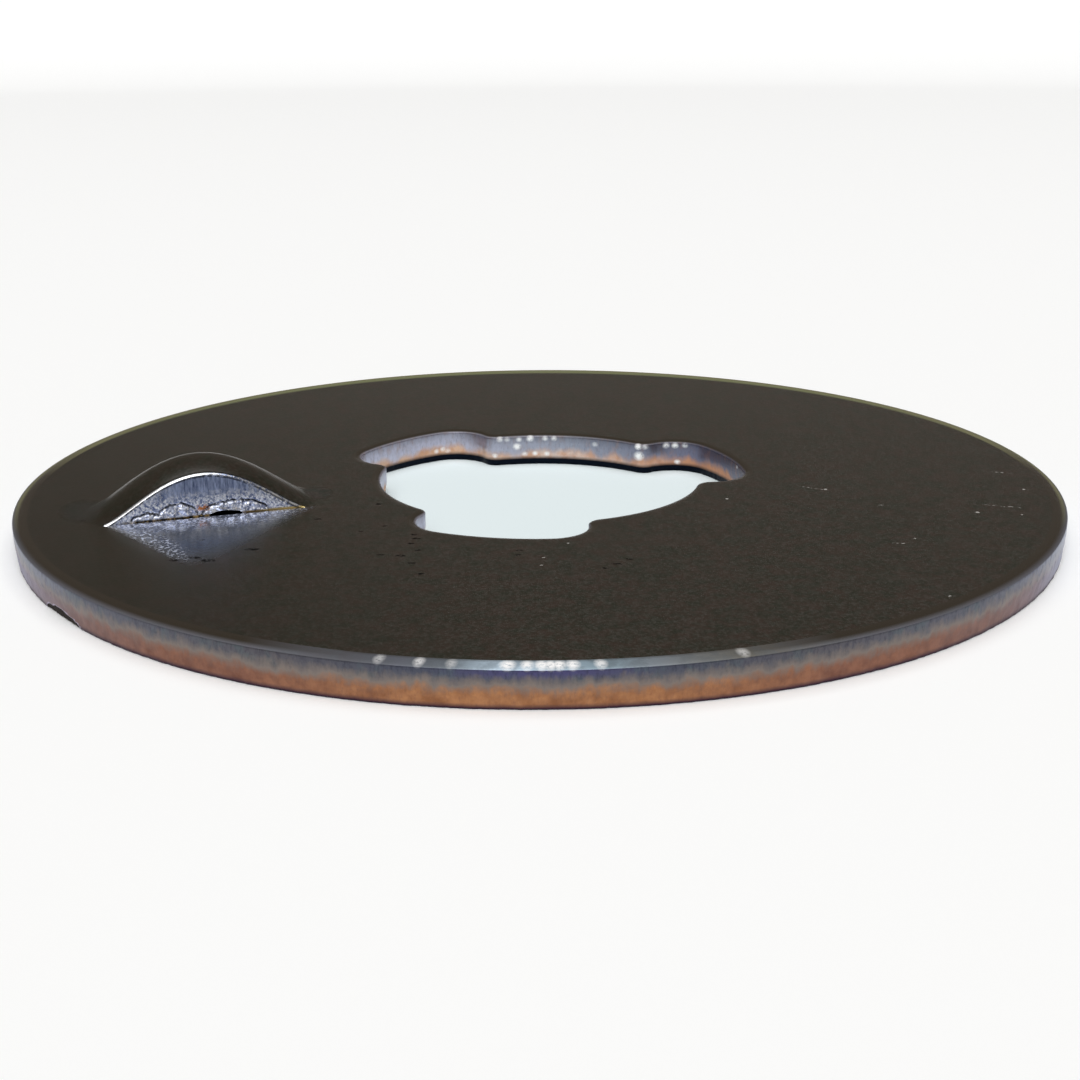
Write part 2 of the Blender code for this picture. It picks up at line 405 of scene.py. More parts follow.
def flat_sheet(mesh, on_tab):
    """The sheet's lower face in one plane, up to the margins of its walls, with the slit open."""
    bmesh.ops.create_circle(mesh, cap_ends=False, segments=RIM_SEGMENTS,
                            radius=OUTER_RADIUS - RIM_ROLL - FLAT_RING)
    sketch_hole(mesh, HOLE_ROLL + FLAT_RING)
    tab_patch(mesh)
    patch = mesh.faces[:]
    outlines = [edge for edge in mesh.edges if len(edge.link_faces) < 2]
    bmesh.ops.triangle_fill(mesh, edges=outlines, use_beauty=False)
    slit = [edge for edge in mesh.edges if all(on_slit(vertex.co) for vertex in edge.verts)]
    bmesh.ops.split_edges(mesh, edges=slit)
    for face in patch:
        for vertex in face.verts:
            vertex[on_tab] = 1.0


def wall_profile(roll_width):
    """A cut wall from the lower face to the upper one, as pairs of inset and height."""
    margin = roll_width + FLAT_RING
    profile = [(margin, 0.0)]
    for step in range(EDGE_STEPS + 1):
        turn = math.pi / 2 * step / EDGE_STEPS
        profile.append((BREAKOUT + EDGE_BREAK * (1 - math.sin(turn)),
                        EDGE_BREAK * (1 - math.cos(turn))))
    straight = THICKNESS - ROLL_DEPTH - EDGE_BREAK
    rows = round(straight / WALL_ROW)
    for row in range(1, rows):
        height = EDGE_BREAK + straight * row / rows
        profile.append((BREAKOUT * max(0.0, 1 - height / RIM_TEAR), height))
    for step in range(ROLL_STEPS + 1):
        turn = math.pi / 2 * step / ROLL_STEPS
        profile.append((roll_width * (1 - math.cos(turn)),
                        THICKNESS - ROLL_DEPTH * (1 - math.sin(turn))))
    profile.append((margin, THICKNESS))
    return profile


def tear_line(place):
    """Height at which shearing gave way to tearing: a row of uneven, pointed teeth."""
    flat = Vector((place.x, place.y, 0.0))
    teeth = 0.5 - 1.6 * abs(ripple(flat, TOOTH_PITCH)) + 0.25 * ripple(flat, TOOTH_PITCH / 4)
    middle = RIM_TEAR if flat.length > OUTER_RADIUS / 2 else HOLE_TEAR
    return middle + TOOTH_HEIGHT * teeth


def chip_share(place):
    """1 in the middle of the rim's chip, falling to 0 at its edge."""
    bearing = math.atan2(place.y, place.x) % math.tau
    along = (bearing - CHIP_BEARING) * OUTER_RADIUS / (CHIP_LENGTH / 2)
    ragged = CHIP_RAGGED * ripple(place, CHIP_GRAIN)
    return max(0.0, 1 - along**2 - (place.z / CHIP_HEIGHT) ** 2 + ragged)


def shape_cut_walls(mesh, layers):
    """Give the walls of the rim and the hole their rolled, sheared and torn bands."""
    rim_profile = wall_profile(RIM_ROLL)
    hole_profile = wall_profile(HOLE_ROLL)
    top = len(rim_profile) - 1
    walls = [face for face in mesh.faces if face.material_index == CUT]
    for face in walls:
        for vertex in face.verts:
            vertex[layers["into_metal"]] -= face.normal
    upright = {
        edge for face in walls for edge in face.edges
        if abs(edge.verts[0].co.z - edge.verts[1].co.z) > THICKNESS / 2
    }
    bmesh.ops.subdivide_edges(mesh, edges=list(upright), cuts=top - 1, use_grid_fill=True)
    for vertex in mesh.verts:
        inward = vertex[layers["into_metal"]].copy()
        if inward.length < 0.5:
            continue
        inward.z = 0.0
        level = round(vertex.co.z / THICKNESS * top)
        on_rim = vertex.co.xy.length > OUTER_RADIUS / 2
        profile = rim_profile if on_rim else hole_profile
        inset, height = profile[level]
        margin = profile[0][0]
        place = Vector((vertex.co.x, vertex.co.y, height))
        if 0 < level < top:
            tear = tear_line(place)
            torn = 1 - rising(height, tear - TEAR_FRINGE, tear + TEAR_FRINGE)
            rolled = max(0.0, level - top + 1 + ROLL_STEPS) / ROLL_STEPS
            inset += torn * (TEAR_STEP + TORN_RELIEF * ripple(place, TORN_GRAIN))
            dent = ROLL_DENT * (1 + ripple(place, ROLL_DENT_PITCH))
            inset += rolled * dent
            vertex[layers["torn"]] = torn
            vertex[layers["polish"]] = rolled
        if on_rim:
            chipped = chip_share(place)
            inset += CHIP_DEPTH * math.sqrt(chipped)
            # The chip's share is kept as shade, which the walls' material paints as shade in the
            # scoop and a highlight along its edge
            vertex[layers["shade"]] = rising(chipped, 0.0, 0.2)
        vertex.co = place + (max(0.0, inset) - margin) * inward.normalized()


def shape_lip(vertex, layers):
    """Place a vertex of the tab's front wall: sheared above, torn and cracked below."""
    level = round(vertex.co.z / THICKNESS * FACE_ROWS)
    straight_rows = FACE_ROWS - LIP_STEPS
    along = along_slit(vertex.co)
    rise = tab_rise(vertex.co)
    bottom = lip_bottom(along, rise)
    turn = math.pi / 2 * max(0, level - straight_rows) / LIP_STEPS
    share = min(1.0, level / straight_rows)
    height = bottom + (rise - LIP_ROLL - bottom) * share + LIP_ROLL * math.sin(turn)
    place = Vector((vertex.co.x, 0.0, height))
    outward = FLUTE_DEPTH * ripple(Vector((vertex.co.x, 0.0, 0.0)), FLUTE_WIDTH)
    outward -= LIP_ROLL * (1 - math.cos(turn))
    crack = crack_height(along)
    if crack > 0.0:
        foot = Vector((vertex.co.x, 0.0, 0.0))
        bends = ripple(foot, CRACK_BENDS) + 0.7 * ripple(foot, BULGE_GRAIN)
        crack = max(CRACK_WIDTH, crack + CRACK_RAGGED * bends)
        torn = 1 - rising(height, crack - CRACK_WIDTH / 2, crack + CRACK_WIDTH / 2)
        crown = math.sqrt(max(0.0, 1 - max(0.0, height / crack) ** 4))
        relief = ripple(place, TORN_GRAIN) + 0.3 * ripple(place, BULGE_GRAIN)
        outward += torn * (BULGE_DEPTH * crown + BULGE_RELIEF * relief)
        # The crack's groove is kept as shade, which the face's material paints darker
        groove = math.exp(-(((height - crack) / CRACK_WIDTH) ** 2))
        outward -= CRACK_DEPTH * groove
        vertex[layers["torn"]] = torn
        vertex[layers["shade"]] = groove
    if abs(level - straight_rows) < 2:
        vertex[layers["shade"]] = UNDER_LIP_SHADE
    # The slot's rim and the lip's roll are kept as polish, which the face's material paints near
    # white as their highlight
    slot_rim = 1.0 if level < SLOT_RIM_ROWS and bottom > 0.0 else 0.0
    vertex[layers["polish"]] = max(slot_rim, rising(turn, 0.0, 0.4))
    vertex.co.y += lance_opening(along) - outward
    vertex.co.z = THICKNESS + height


def shape_tab(mesh, layers):
    """Open the slit, raise the tab and tear the metal under its face."""
    upright = [
        edge for edge in mesh.edges
        if all(on_slit(vertex.co) and vertex[layers["on_tab"]] > 0.5 for vertex in edge.verts)
        and abs(edge.verts[0].co.z - edge.verts[1].co.z) > THICKNESS / 2
    ]
    bmesh.ops.subdivide_edges(mesh, edges=upright, cuts=FACE_ROWS - 1, use_grid_fill=True)
    for vertex in mesh.verts:
        if vertex[layers["on_tab"]] < 0.5:
            continue
        along = along_slit(vertex.co)
        if on_slit(vertex.co) and abs(along) < 1 - NEAR / MM:
            shape_lip(vertex, layers)
            continue
        depth = vertex.co.y - SLIT_LINE
        rise = tab_rise(vertex.co)
        beneath = vertex.co.z < THICKNESS / 2
        vertex.co.z += rise
        vertex.co.y += lance_opening(along) * (1 - depth / PATCH_DEPTH)
        if beneath and depth < SKIRT_WIDTH and rise > 0.0:
            hang = max(0.0, rise - THICKNESS - lip_bottom(along, rise))
            vertex.co.z -= hang * (1 - depth / SKIRT_WIDTH) ** 2


def sort_faces(mesh):
    """Give each face its finish, while the walls still stand upright."""
    for face in mesh.faces:
        if abs(face.normal.z) < 0.5:
            face.material_index = LANCED if on_slit(face.calc_center_median()) else CUT


def add_layers(mesh):
    """What each vertex remembers: which way the metal lies, and where it is torn or polished."""
    shares = ("on_tab", "torn", "polish", "shade")
    for name in shares:
        mesh.verts.layers.float.new(name)
    mesh.verts.layers.float_vector.new("into_metal")
    layers = {name: mesh.verts.layers.float[name] for name in shares}
    layers["into_metal"] = mesh.verts.layers.float_vector["into_metal"]
    return layers


def washer_mesh():
    """The whole washer as one closed bmesh."""
    mesh = bmesh.new()
    layers = add_layers(mesh)
    flat_sheet(mesh, layers["on_tab"])
    raised = bmesh.ops.extrude_face_region(mesh, geom=mesh.faces[:])
    upper = [item for item in raised["geom"] if isinstance(item, bmesh.types.BMVert)]
    bmesh.ops.translate(mesh, verts=upper, vec=(0.0, 0.0, THICKNESS))
    bmesh.ops.recalc_face_normals(mesh, faces=mesh.faces[:])
    sort_faces(mesh)
    shape_cut_walls(mesh, layers)
    shape_tab(mesh, layers)
    mesh.normal_update()
    for face in mesh.faces:
        if face.material_index == CUT and abs(face.normal.z) > FLAT_ENOUGH:
            face.material_index = SKIN
    return mesh


def linear(hex_colour):
    """An sRGB hex colour as the linear colour that a shader takes."""
    shares = [int(hex_colour[at:at + 2], 16) / 255 for at in (1, 3, 5)]
    turned = [s / 12.92 if s <= 0.04045 else ((s + 0.055) / 1.055) ** 2.4 for s in shares]
    return (*turned, 1.0)


def add_node(material, kind, inputs, output=0, **settings):
    """Add a shader node of a kind, set it, fill its inputs with links, hex colours or values, and
    give one of its outputs."""
    added = material.node_tree.nodes.new("ShaderNode" + kind)
    for name, value in settings.items():
        setattr(added, name, value)
    for name, value in inputs.items():
        if isinstance(value, bpy.types.NodeSocket):
            material.node_tree.links.new(value, added.inputs[name])
        elif isinstance(value, str):
            added.inputs[name].default_value = linear(value)
        else:
            added.inputs[name].default_value = value
    return added.outputs[output] if added.outputs else None


def new_material(name):
    """An empty material, and places on the piece in millimetres."""
    material = bpy.data.materials.new(name)
    material.use_nodes = True
    material.node_tree.nodes.clear()
    place = add_node(material, "TexCoord", {}, "Object")
    per_mm = (1 / MM,) * 3
    millimetres = add_node(material, "VectorMath", {0: place, 1: per_mm}, operation="MULTIPLY")
    return material, millimetres


def spot(material, place, x, y, length, width, bearing, height=0.0, tall=100.0, core=0.6):
    """1 inside a long or round spot, fading to 0 at its edge."""
    local = add_node(material, "Mapping", {
        "Vector": place, "Location": (x, y, height), "Rotation": (0.0, 0.0, math.radians(bearing)),
        "Scale": (length / 2, width / 2, tall / 2)}, vector_type="TEXTURE")
    reach = add_node(material, "VectorMath", {0: local}, "Value", operation="LENGTH")
    return add_node(material, "MapRange", {"Value": reach, "From Min": 1.0, "From Max": core})


def beyond_line(material, place, x, y, bearing, fade):
    """0 behind a line on the upper face and 1 beyond it. The line runs through a place, square
    to the bearing."""
    away = add_node(material, "VectorMath", {0: place, 1: (x, y, 0.0)}, operation="SUBTRACT")
    distance = add_node(material, "VectorMath", {0: away, 1: polar(1.0, math.radians(bearing))},
                        "Value", operation="DOT_PRODUCT")
    return add_node(material, "MapRange", {
        "Value": distance, "From Min": -fade / 2, "From Max": fade / 2})


def any_spot(material, place, spots):
    """1 inside any of a list of spots, whose outlines are ragged."""
    wobble = add_node(material, "TexNoise", {"Vector": place, "Scale": 1 / RAGGED_PITCH}, "Color")
    centred = add_node(material, "VectorMath", {0: wobble, 1: (0.5, 0.5, 0.5)},
                       operation="SUBTRACT")
    moved = add_node(material, "VectorMath", {0: centred, "Scale": RAGGED_REACH}, operation="SCALE")
    ragged = add_node(material, "VectorMath", {0: place, 1: moved}, operation="ADD")
    shares = [spot(material, ragged, *one) for one in spots]
    found = shares[0]
    for share in shares[1:]:
        found = add_node(material, "Math", {0: found, 1: share}, operation="MAXIMUM")
    return found


def burnished_patch(material, place, ahead, on_top):
    """1 on the patch in front of the slit, which is partly real burnish and partly a painted
    reflection of the tab's face, and 0 elsewhere.
    """
    patch = add_node(material, "MapRange", {
        "Value": ahead, "From Min": SLIT_LINE / MM + 0.05, "From Max": SLIT_LINE / MM - 0.05})
    for line, fade in ((BURNISHED_LEFT, 0.5), (BURNISHED_RIGHT, 2.0), (BURNISHED_FOOT, 1.2)):
        patch = add_node(material, "Math", {0: patch, 1: beyond_line(material, place, *line, fade)},
                         operation="MULTIPLY")
    return add_node(material, "Math", {0: patch, 1: on_top}, operation="MULTIPLY")


def face_marks(material, place, specks, on_top):
    """Where the upper face is bright with scratches and specks, and where it is pitted, with the
    shade inside the pits painted in.
    """
    scratches = [(x, y, length, SCRATCH_WIDTH, bearing) for x, y, length, bearing in SCRATCHES]
    dots = [(x, y, size, size, 0.0) for x, y, size in BRIGHT_DOTS]
    pits = [(x, y, size, size * PIT_FLATNESS, PIT_BEARING) for x, y, size in PITS]
    bright = add_node(material, "Math", {
        0: any_spot(material, place, scratches),
        1: add_node(material, "MapRange", {"Value": specks, "From Min": 0.46, "From Max": 0.58})},
        operation="MULTIPLY")
    bright = add_node(material, "Math", {0: bright, 1: any_spot(material, place, dots)},
                      operation="MAXIMUM")
    bright = add_node(material, "Math", {0: bright, 1: on_top}, operation="MULTIPLY")
    # Painted shade: the pits are darkened to near black, as the shade that falls inside them
    pit_shade = add_node(material, "Math", {
        0: any_spot(material, place, pits),
        1: add_node(material, "MapRange", {"Value": specks, "From Min": 0.38, "From Max": 0.52})},
        operation="MULTIPLY")
    pit_shade = add_node(material, "Math", {0: pit_shade, 1: on_top}, operation="MULTIPLY")
    return bright, pit_shade


def back_rim_reflection_line(material, place, on_top):
    """1 on the pale olive line painted along the back of the rim as its reflection, and 0
    elsewhere.
    """
    towards = polar(BACK_REFLECTION_OFFSET, CAMERA_AZIMUTH - math.pi / 2)
    from_offset = add_node(material, "VectorMath", {0: place, 1: towards}, operation="SUBTRACT")
    reach = add_node(material, "VectorMath", {0: from_offset}, "Value", operation="LENGTH")
    back_rim_reflection = add_node(material, "MapRange", {
        "Value": reach, "From Min": BACK_REFLECTION_RADIUS, "From Max": BACK_REFLECTION_RADIUS + BACK_REFLECTION_FADE})
    return add_node(material, "Math", {0: back_rim_reflection, 1: on_top}, operation="MULTIPLY")


def oxidised_skin():
    """Hot-rolled steel with a thin, oiled oxide film: near black and warm, faintly mottled brown
    and green, with a gloss that turns mirror-like at a low angle, pits where scale has broken out,
    with the shade inside them painted in, a few bright scratches and specks, a patch of burnish in
    front of the slit, painted paler towards the slit as a reflection of the tab's bright face, and
    a pale olive line along the back of the rim, painted as its reflection."""
    material, place = new_material("oxidised_steel_skin")
    parts = {name: add_node(material, "SeparateXYZ", {0: place}, name) for name in "XYZ"}
    on_top = add_node(material, "MapRange", {"Value": parts["Z"], "From Min": 1.0, "From Max": 1.6})
    mottle = add_node(material, "TexNoise", {
        "Vector": place, "Scale": 1 / SCALE_MOTTLE, "Detail": 5.0, "Roughness": 0.7})
    grain = add_node(material, "TexNoise", {
        "Vector": place, "Scale": 1 / SCALE_GRAIN, "Detail": 3.0, "Roughness": 0.6})
    specks = add_node(material, "TexNoise", {
        "Vector": place, "Scale": 1 / SCALE_SPECK, "Detail": 2.0, "Roughness": 0.6})
    colour = add_node(material, "Mix", {
        FACTOR: add_node(material, "MapRange", {"Value": mottle, "From Min": 0.4, "From Max": 0.6}),
        COLOUR_A: "#281D15", COLOUR_B: "#141A0E"}, MIXED, data_type="RGBA")
    colour = add_node(material, "Mix", {
        FACTOR: add_node(material, "MapRange", {
            "Value": grain, "From Min": 0.45, "From Max": 0.75, "To Max": 0.6}),
        COLOUR_A: colour, COLOUR_B: "#4A4844"}, MIXED, data_type="RGBA")
    colour = add_node(material, "Mix", {
        FACTOR: add_node(material, "MapRange", {
            "Value": parts["X"], "From Min": -8.0, "From Max": -27.0, "To Max": 0.7}),
        COLOUR_A: colour, COLOUR_B: "#171409"}, MIXED, data_type="RGBA")

    # Partly real burnish and partly painted reflection: the patch in front of the slit is paler and
    # glossier, and paler still towards the slit, where it stands in for the reflection of the tab's
    # bright face
    patch = burnished_patch(material, place, parts["Y"], on_top)
    burnish_and_reflection = add_node(material, "Math", {
        0: patch,
        1: add_node(material, "MapRange", {"Value": grain, "From Min": 0.25, "From Max": 0.55})},
        operation="MULTIPLY")
    near_slit = add_node(material, "MapRange", {
        "Value": parts["Y"], "From Min": SLIT_LINE / MM - 2.6, "From Max": SLIT_LINE / MM - 0.4})
    pale = add_node(material, "Math", {0: patch, 1: near_slit}, operation="MULTIPLY")
    burnish_and_face_reflection = add_node(material, "Mix", {FACTOR: pale, COLOUR_A: "#4A4E56", COLOUR_B: "#A0A8C0"},
                         MIXED, data_type="RGBA")
    # Pale specks in the patch, next to the slit and in one long spot
    pale_specks = add_node(material, "Math", {0: near_slit, 1: spot(material, place, *PALE_SPECK_EDGE)},
                     operation="MAXIMUM")
    pale_specks = add_node(material, "Math", {0: pale_specks, 1: patch}, operation="MULTIPLY")
    pale_specks = add_node(material, "Math", {
        0: pale_specks,
        1: add_node(material, "MapRange", {"Value": specks, "From Min": 0.54, "From Max": 0.62})},
        operation="MULTIPLY")
    bright, pit_shade = face_marks(material, place, specks, on_top)
    # Painted reflection: a pale olive line along the back of the rim
    back_rim_reflection = back_rim_reflection_line(material, place, on_top)
    layers = (
        (burnish_and_reflection, burnish_and_face_reflection), (pale_specks, "#D4DCF0"), (bright, "#A8A6A2"), (pit_shade, "#0C0A08"),
        (back_rim_reflection, "#747952"),
    )
    for share, layer in layers:
        colour = add_node(material, "Mix", {FACTOR: share, COLOUR_A: colour, COLOUR_B: layer},
                          MIXED, data_type="RGBA")

    metal = add_node(material, "Math", {
        0: pit_shade,
        1: add_node(material, "MapRange", {
            "Value": burnish_and_reflection, "From Min": 0.0, "From Max": 1.0, "To Max": 0.8})}, operation="MAXIMUM")
    dull = any_spot(material, place, CREST_TAILS)
    for share in (pit_shade, bright, pale_specks):
        dull = add_node(material, "Math", {0: dull, 1: share}, operation="MAXIMUM")
    gloss = add_node(material, "Mix", {"Factor": burnish_and_reflection, "A": 0.28, "B": 0.09})
    roughness = add_node(material, "Mix", {"Factor": dull, "A": gloss, "B": 0.7})
    strength = add_node(material, "Mix", {"Factor": patch, "A": 0.12, "B": 0.2})
    bump = add_node(material, "Bump", {
        "Strength": strength, "Distance": GRAIN_HEIGHT, "Height": grain})
    shader = add_node(material, "BsdfPrincipled", {
        "Base Color": colour, "Metallic": metal, "Roughness": roughness, "IOR": 1.5,
        "Normal": bump})
    add_node(material, "OutputMaterial", {"Surface": shader})
    return material


def edge_shares(material):
    """What the mesh remembers of a cut wall: how torn, how polished and how shaded it is."""
    return [add_node(material, "Attribute", {}, "Fac", attribute_name=name)
            for name in ("torn", "polish", "shade")]


def glints(material, place):
    """Painted glints: round white spots on the rim's front and the hole's wall that stand in for
    highlights, broken up by a fine grain.
    """
    front = math.degrees(CAMERA_AZIMUTH) - 90
    middle = (OUTER_RADIUS - RIM_ROLL / 2) / MM
    shares = []
    for turn, size, share in RIM_GLINTS:
        on_roll = polar(middle, math.radians(front + turn))
        one = spot(material, place, on_roll.x, on_roll.y, RIM_GLINT_LENGTHEN * size,
                   RIM_GLINT_WIDEN * RIM_ROLL / MM, front + turn + 90, THICKNESS / MM,
                   RIM_GLINT_HEIGHTEN * ROLL_DEPTH / MM, GLINT_CORE)
        shares.append(add_node(material, "Math", {0: one, 1: share}, operation="MULTIPLY"))
    for x, y, height, size, share in HOLE_GLINTS:
        bearing = math.degrees(math.atan2(y, x)) + 90
        one = spot(material, place, x, y, HOLE_GLINT_LENGTHEN * size, HOLE_GLINT_WIDTH, bearing,
                   height - HOLE_GLINT_DROP, size, GLINT_CORE)
        shares.append(add_node(material, "Math", {0: one, 1: share}, operation="MULTIPLY"))
    painted_glint = shares[0]
    for share in shares[1:]:
        painted_glint = add_node(material, "Math", {0: painted_glint, 1: share}, operation="MAXIMUM")
    glint_grain = add_node(material, "TexNoise", {
        "Vector": place, "Scale": 1 / GLINT_GRAIN, "Detail": 3.0, "Roughness": 0.6})
    patchy = add_node(material, "Mix", {
        "Factor": 0.75, "A": 1.0,
        "B": add_node(material, "MapRange", {
            "Value": glint_grain, "From Min": 0.3, "From Max": 0.5})})
    return add_node(material, "Math", {0: painted_glint, 1: patchy}, operation="MULTIPLY")


def graded(material, value, stops):
    """A colour that runs through a list of stops, each a level of the value and a colour."""
    colour = stops[0][1]
    for (start, _), (end, second) in zip(stops, stops[1:]):
        colour = add_node(material, "Mix", {
            FACTOR: add_node(material, "MapRange", {
                "Value": value, "From Min": start, "From Max": end}),
            COLOUR_A: colour, COLOUR_B: second}, MIXED, data_type="RGBA")
    return colour


def wall_places(material, place):
    """Places on a cut wall, in millimetres: to the right of the line towards the camera, to
    either side of it, beyond the axis, above the lower face, and out from the axis."""
    right = polar(1.0, CAMERA_AZIMUTH)
    back = polar(1.0, CAMERA_AZIMUTH + math.pi / 2)
    across = add_node(material, "VectorMath", {0: place, 1: right}, "Value",
                      operation="DOT_PRODUCT")
    aside = add_node(material, "Math", {0: across}, operation="ABSOLUTE")
    beyond = add_node(material, "VectorMath", {0: place, 1: back}, "Value", operation="DOT_PRODUCT")
    height = add_node(material, "SeparateXYZ", {0: place}, "Z")
    level_place = add_node(material, "VectorMath", {0: place, 1: (1.0, 1.0, 0.0)},
                           operation="MULTIPLY")
    reach = add_node(material, "VectorMath", {0: level_place}, "Value", operation="LENGTH")
    return {"across": across, "aside": aside, "beyond": beyond, "height": height, "reach": reach}


def wall_grain(material, place):
    """The grain of a cut wall: upright streaks, fine scores, torn grit and blotches of rust."""
    upright = add_node(material, "VectorMath", {0: place, 1: SHEAR_STRETCH}, operation="MULTIPLY")
    streaks = add_node(material, "TexNoise", {
        "Vector": upright, "Scale": 1 / SHEAR_STREAK, "Detail": 3.0, "Roughness": 0.6})
    scores = add_node(material, "TexNoise", {
        "Vector": upright, "Scale": 1 / SHEAR_SCORE, "Detail": 3.0, "Roughness": 0.7})
    grit = add_node(material, "TexNoise", {
        "Vector": place, "Scale": 1 / TEAR_GRIT, "Detail": 4.0, "Roughness": 0.6})
    blotches = add_node(material, "TexNoise", {
        "Vector": place, "Scale": 1 / RUST_BLOTCH, "Detail": 3.0, "Roughness": 0.6})
    return {"streaks": streaks, "scores": scores, "grit": grit, "blotches": blotches}


def rim_land(material, place, at, grain):
    """The rim's sheared band: violet grey in front, lighter and greyer towards the sides as a
    painted sheen, stained and scored.
    """
    upper = graded(material, at["aside"], [
        (1.5, "#504E74"), (5.0, "#505462"), (12.0, "#5C5A60"), (22.0, "#60626E"),
        (28.0, "#767C90")])
    lower = graded(material, at["aside"], [
        (4.0, "#5A5C66"), (12.0, "#646266"), (22.0, "#60626E"), (28.0, "#767C90")])
    land = add_node(material, "Mix", {
        FACTOR: add_node(material, "MapRange", {
            "Value": at["height"], "From Min": 1.7, "From Max": 1.4}),
        COLOUR_A: upper, COLOUR_B: lower}, MIXED, data_type="RGBA")
    stain = add_node(material, "TexNoise", {
        "Vector": place, "Scale": 1 / WALL_STAIN, "Detail": 3.0, "Roughness": 0.6})
    land = add_node(material, "Mix", {
        FACTOR: add_node(material, "MapRange", {
            "Value": stain, "From Min": 0.52, "From Max": 0.66, "To Max": 0.4}),
        COLOUR_A: land, COLOUR_B: "#58686C"}, MIXED, data_type="RGBA")
    return add_node(material, "Mix", {
        FACTOR: add_node(material, "MapRange", {
            "Value": grain["scores"], "From Min": 0.46, "From Max": 0.7, "To Max": 0.5}),
        COLOUR_A: land, COLOUR_B: "#343644"}, MIXED, data_type="RGBA")


def rim_rust(material, at, grain):
    """The rim's torn band: rusted copper brown in front, and duller at the sides."""
    blotched = add_node(material, "MapRange", {
        "Value": grain["blotches"], "From Min": 0.34, "From Max": 0.66})
    rust = add_node(material, "Mix", {FACTOR: blotched, COLOUR_A: "#8A5A38", COLOUR_B: "#AA764C"},
                    MIXED, data_type="RGBA")
    side_rust = add_node(material, "Mix", {
        FACTOR: blotched, COLOUR_A: "#744A3A", COLOUR_B: "#8A5C46"}, MIXED, data_type="RGBA")
    rust = add_node(material, "Mix", {
        FACTOR: add_node(material, "MapRange", {
            "Value": at["aside"], "From Min": 5.0, "From Max": 13.0}),
        COLOUR_A: rust, COLOUR_B: side_rust}, MIXED, data_type="RGBA")
    return add_node(material, "Mix", {
        FACTOR: add_node(material, "MapRange", {
            "Value": grain["scores"], "From Min": 0.5, "From Max": 0.7, "To Max": 0.35}),
        COLOUR_A: rust, COLOUR_B: "#6C4638"}, MIXED, data_type="RGBA")


def rim_wall(material, place, at, grain, torn):
    """The rim's wall: its colour, and how far down each place lies, which goes from 0 on the
    sheared grey band to 1 on the rusty torn one."""
    deep = add_node(material, "Math", {
        0: add_node(material, "MapRange", {
            "Value": at["height"], "From Min": 1.85, "From Max": 0.7, "To Max": 0.62}),
        1: add_node(material, "MapRange", {
            "Value": torn, "From Min": 0.0, "From Max": 1.0, "To Max": 0.16})}, operation="ADD")
    for name in ("streaks", "blotches"):
        deep = add_node(material, "Math", {
            0: deep,
            1: add_node(material, "MapRange", {
                "Value": grain[name], "From Min": 0.2, "From Max": 0.8, "To Max": 0.3})},
            operation="ADD")
    deep = add_node(material, "Math", {0: deep, 1: 0.25}, operation="SUBTRACT")
    land = rim_land(material, place, at, grain)
    rust = rim_rust(material, at, grain)
    rim = graded(material, deep, [(0.16, land), (0.5, "#7E746E"), (0.84, rust)])
    rim = add_node(material, "Mix", {
        FACTOR: add_node(material, "MapRange", {
            "Value": at["height"], "From Min": 0.8, "From Max": 0.45}),
        COLOUR_A: rim, COLOUR_B: rust}, MIXED, data_type="RGBA")

    # Painted sheen: towards the rim's ends the torn band turns a lighter lilac grey, and the right
    # end is paler still
    side_sheen = add_node(material, "Math", {
        0: add_node(material, "MapRange", {
            "Value": at["aside"], "From Min": 17.0, "From Max": 28.0}),
        1: add_node(material, "MapRange", {"Value": deep, "From Min": 0.3, "From Max": 0.8})},
        operation="MULTIPLY")
    side_sheen_colour = graded(material, at["aside"], [(22.0, "#74666C"), (27.0, "#8C8CA4")])
    rim = add_node(material, "Mix", {FACTOR: side_sheen, COLOUR_A: rim, COLOUR_B: side_sheen_colour}, MIXED,
                   data_type="RGBA")
    rim = add_node(material, "Mix", {
        FACTOR: add_node(material, "MapRange", {
            "Value": at["across"], "From Min": 24.5, "From Max": 28.4, "To Max": 0.6}),
        COLOUR_A: rim, COLOUR_B: "#A8B0C4"}, MIXED, data_type="RGBA")
    dots = add_node(material, "TexNoise", {
        "Vector": place, "Scale": 1 / OXIDE_DOT, "Detail": 1.0, "Roughness": 0.6})
    dotted = add_node(material, "Math", {
        0: add_node(material, "MapRange", {
            "Value": dots, "From Min": 0.58, "From Max": 0.68, "To Max": 0.6}),
        1: add_node(material, "MapRange", {
            "Value": at["aside"], "From Min": 20.0, "From Max": 26.0})}, operation="MULTIPLY")
    dotted = add_node(material, "Math", {
        0: dotted,
        1: add_node(material, "MapRange", {
            "Value": at["height"], "From Min": 0.5, "From Max": 1.1})}, operation="MULTIPLY")
    rim = add_node(material, "Mix", {FACTOR: dotted, COLOUR_A: rim, COLOUR_B: "#3A3C5C"}, MIXED,
                   data_type="RGBA")
    return rim, deep


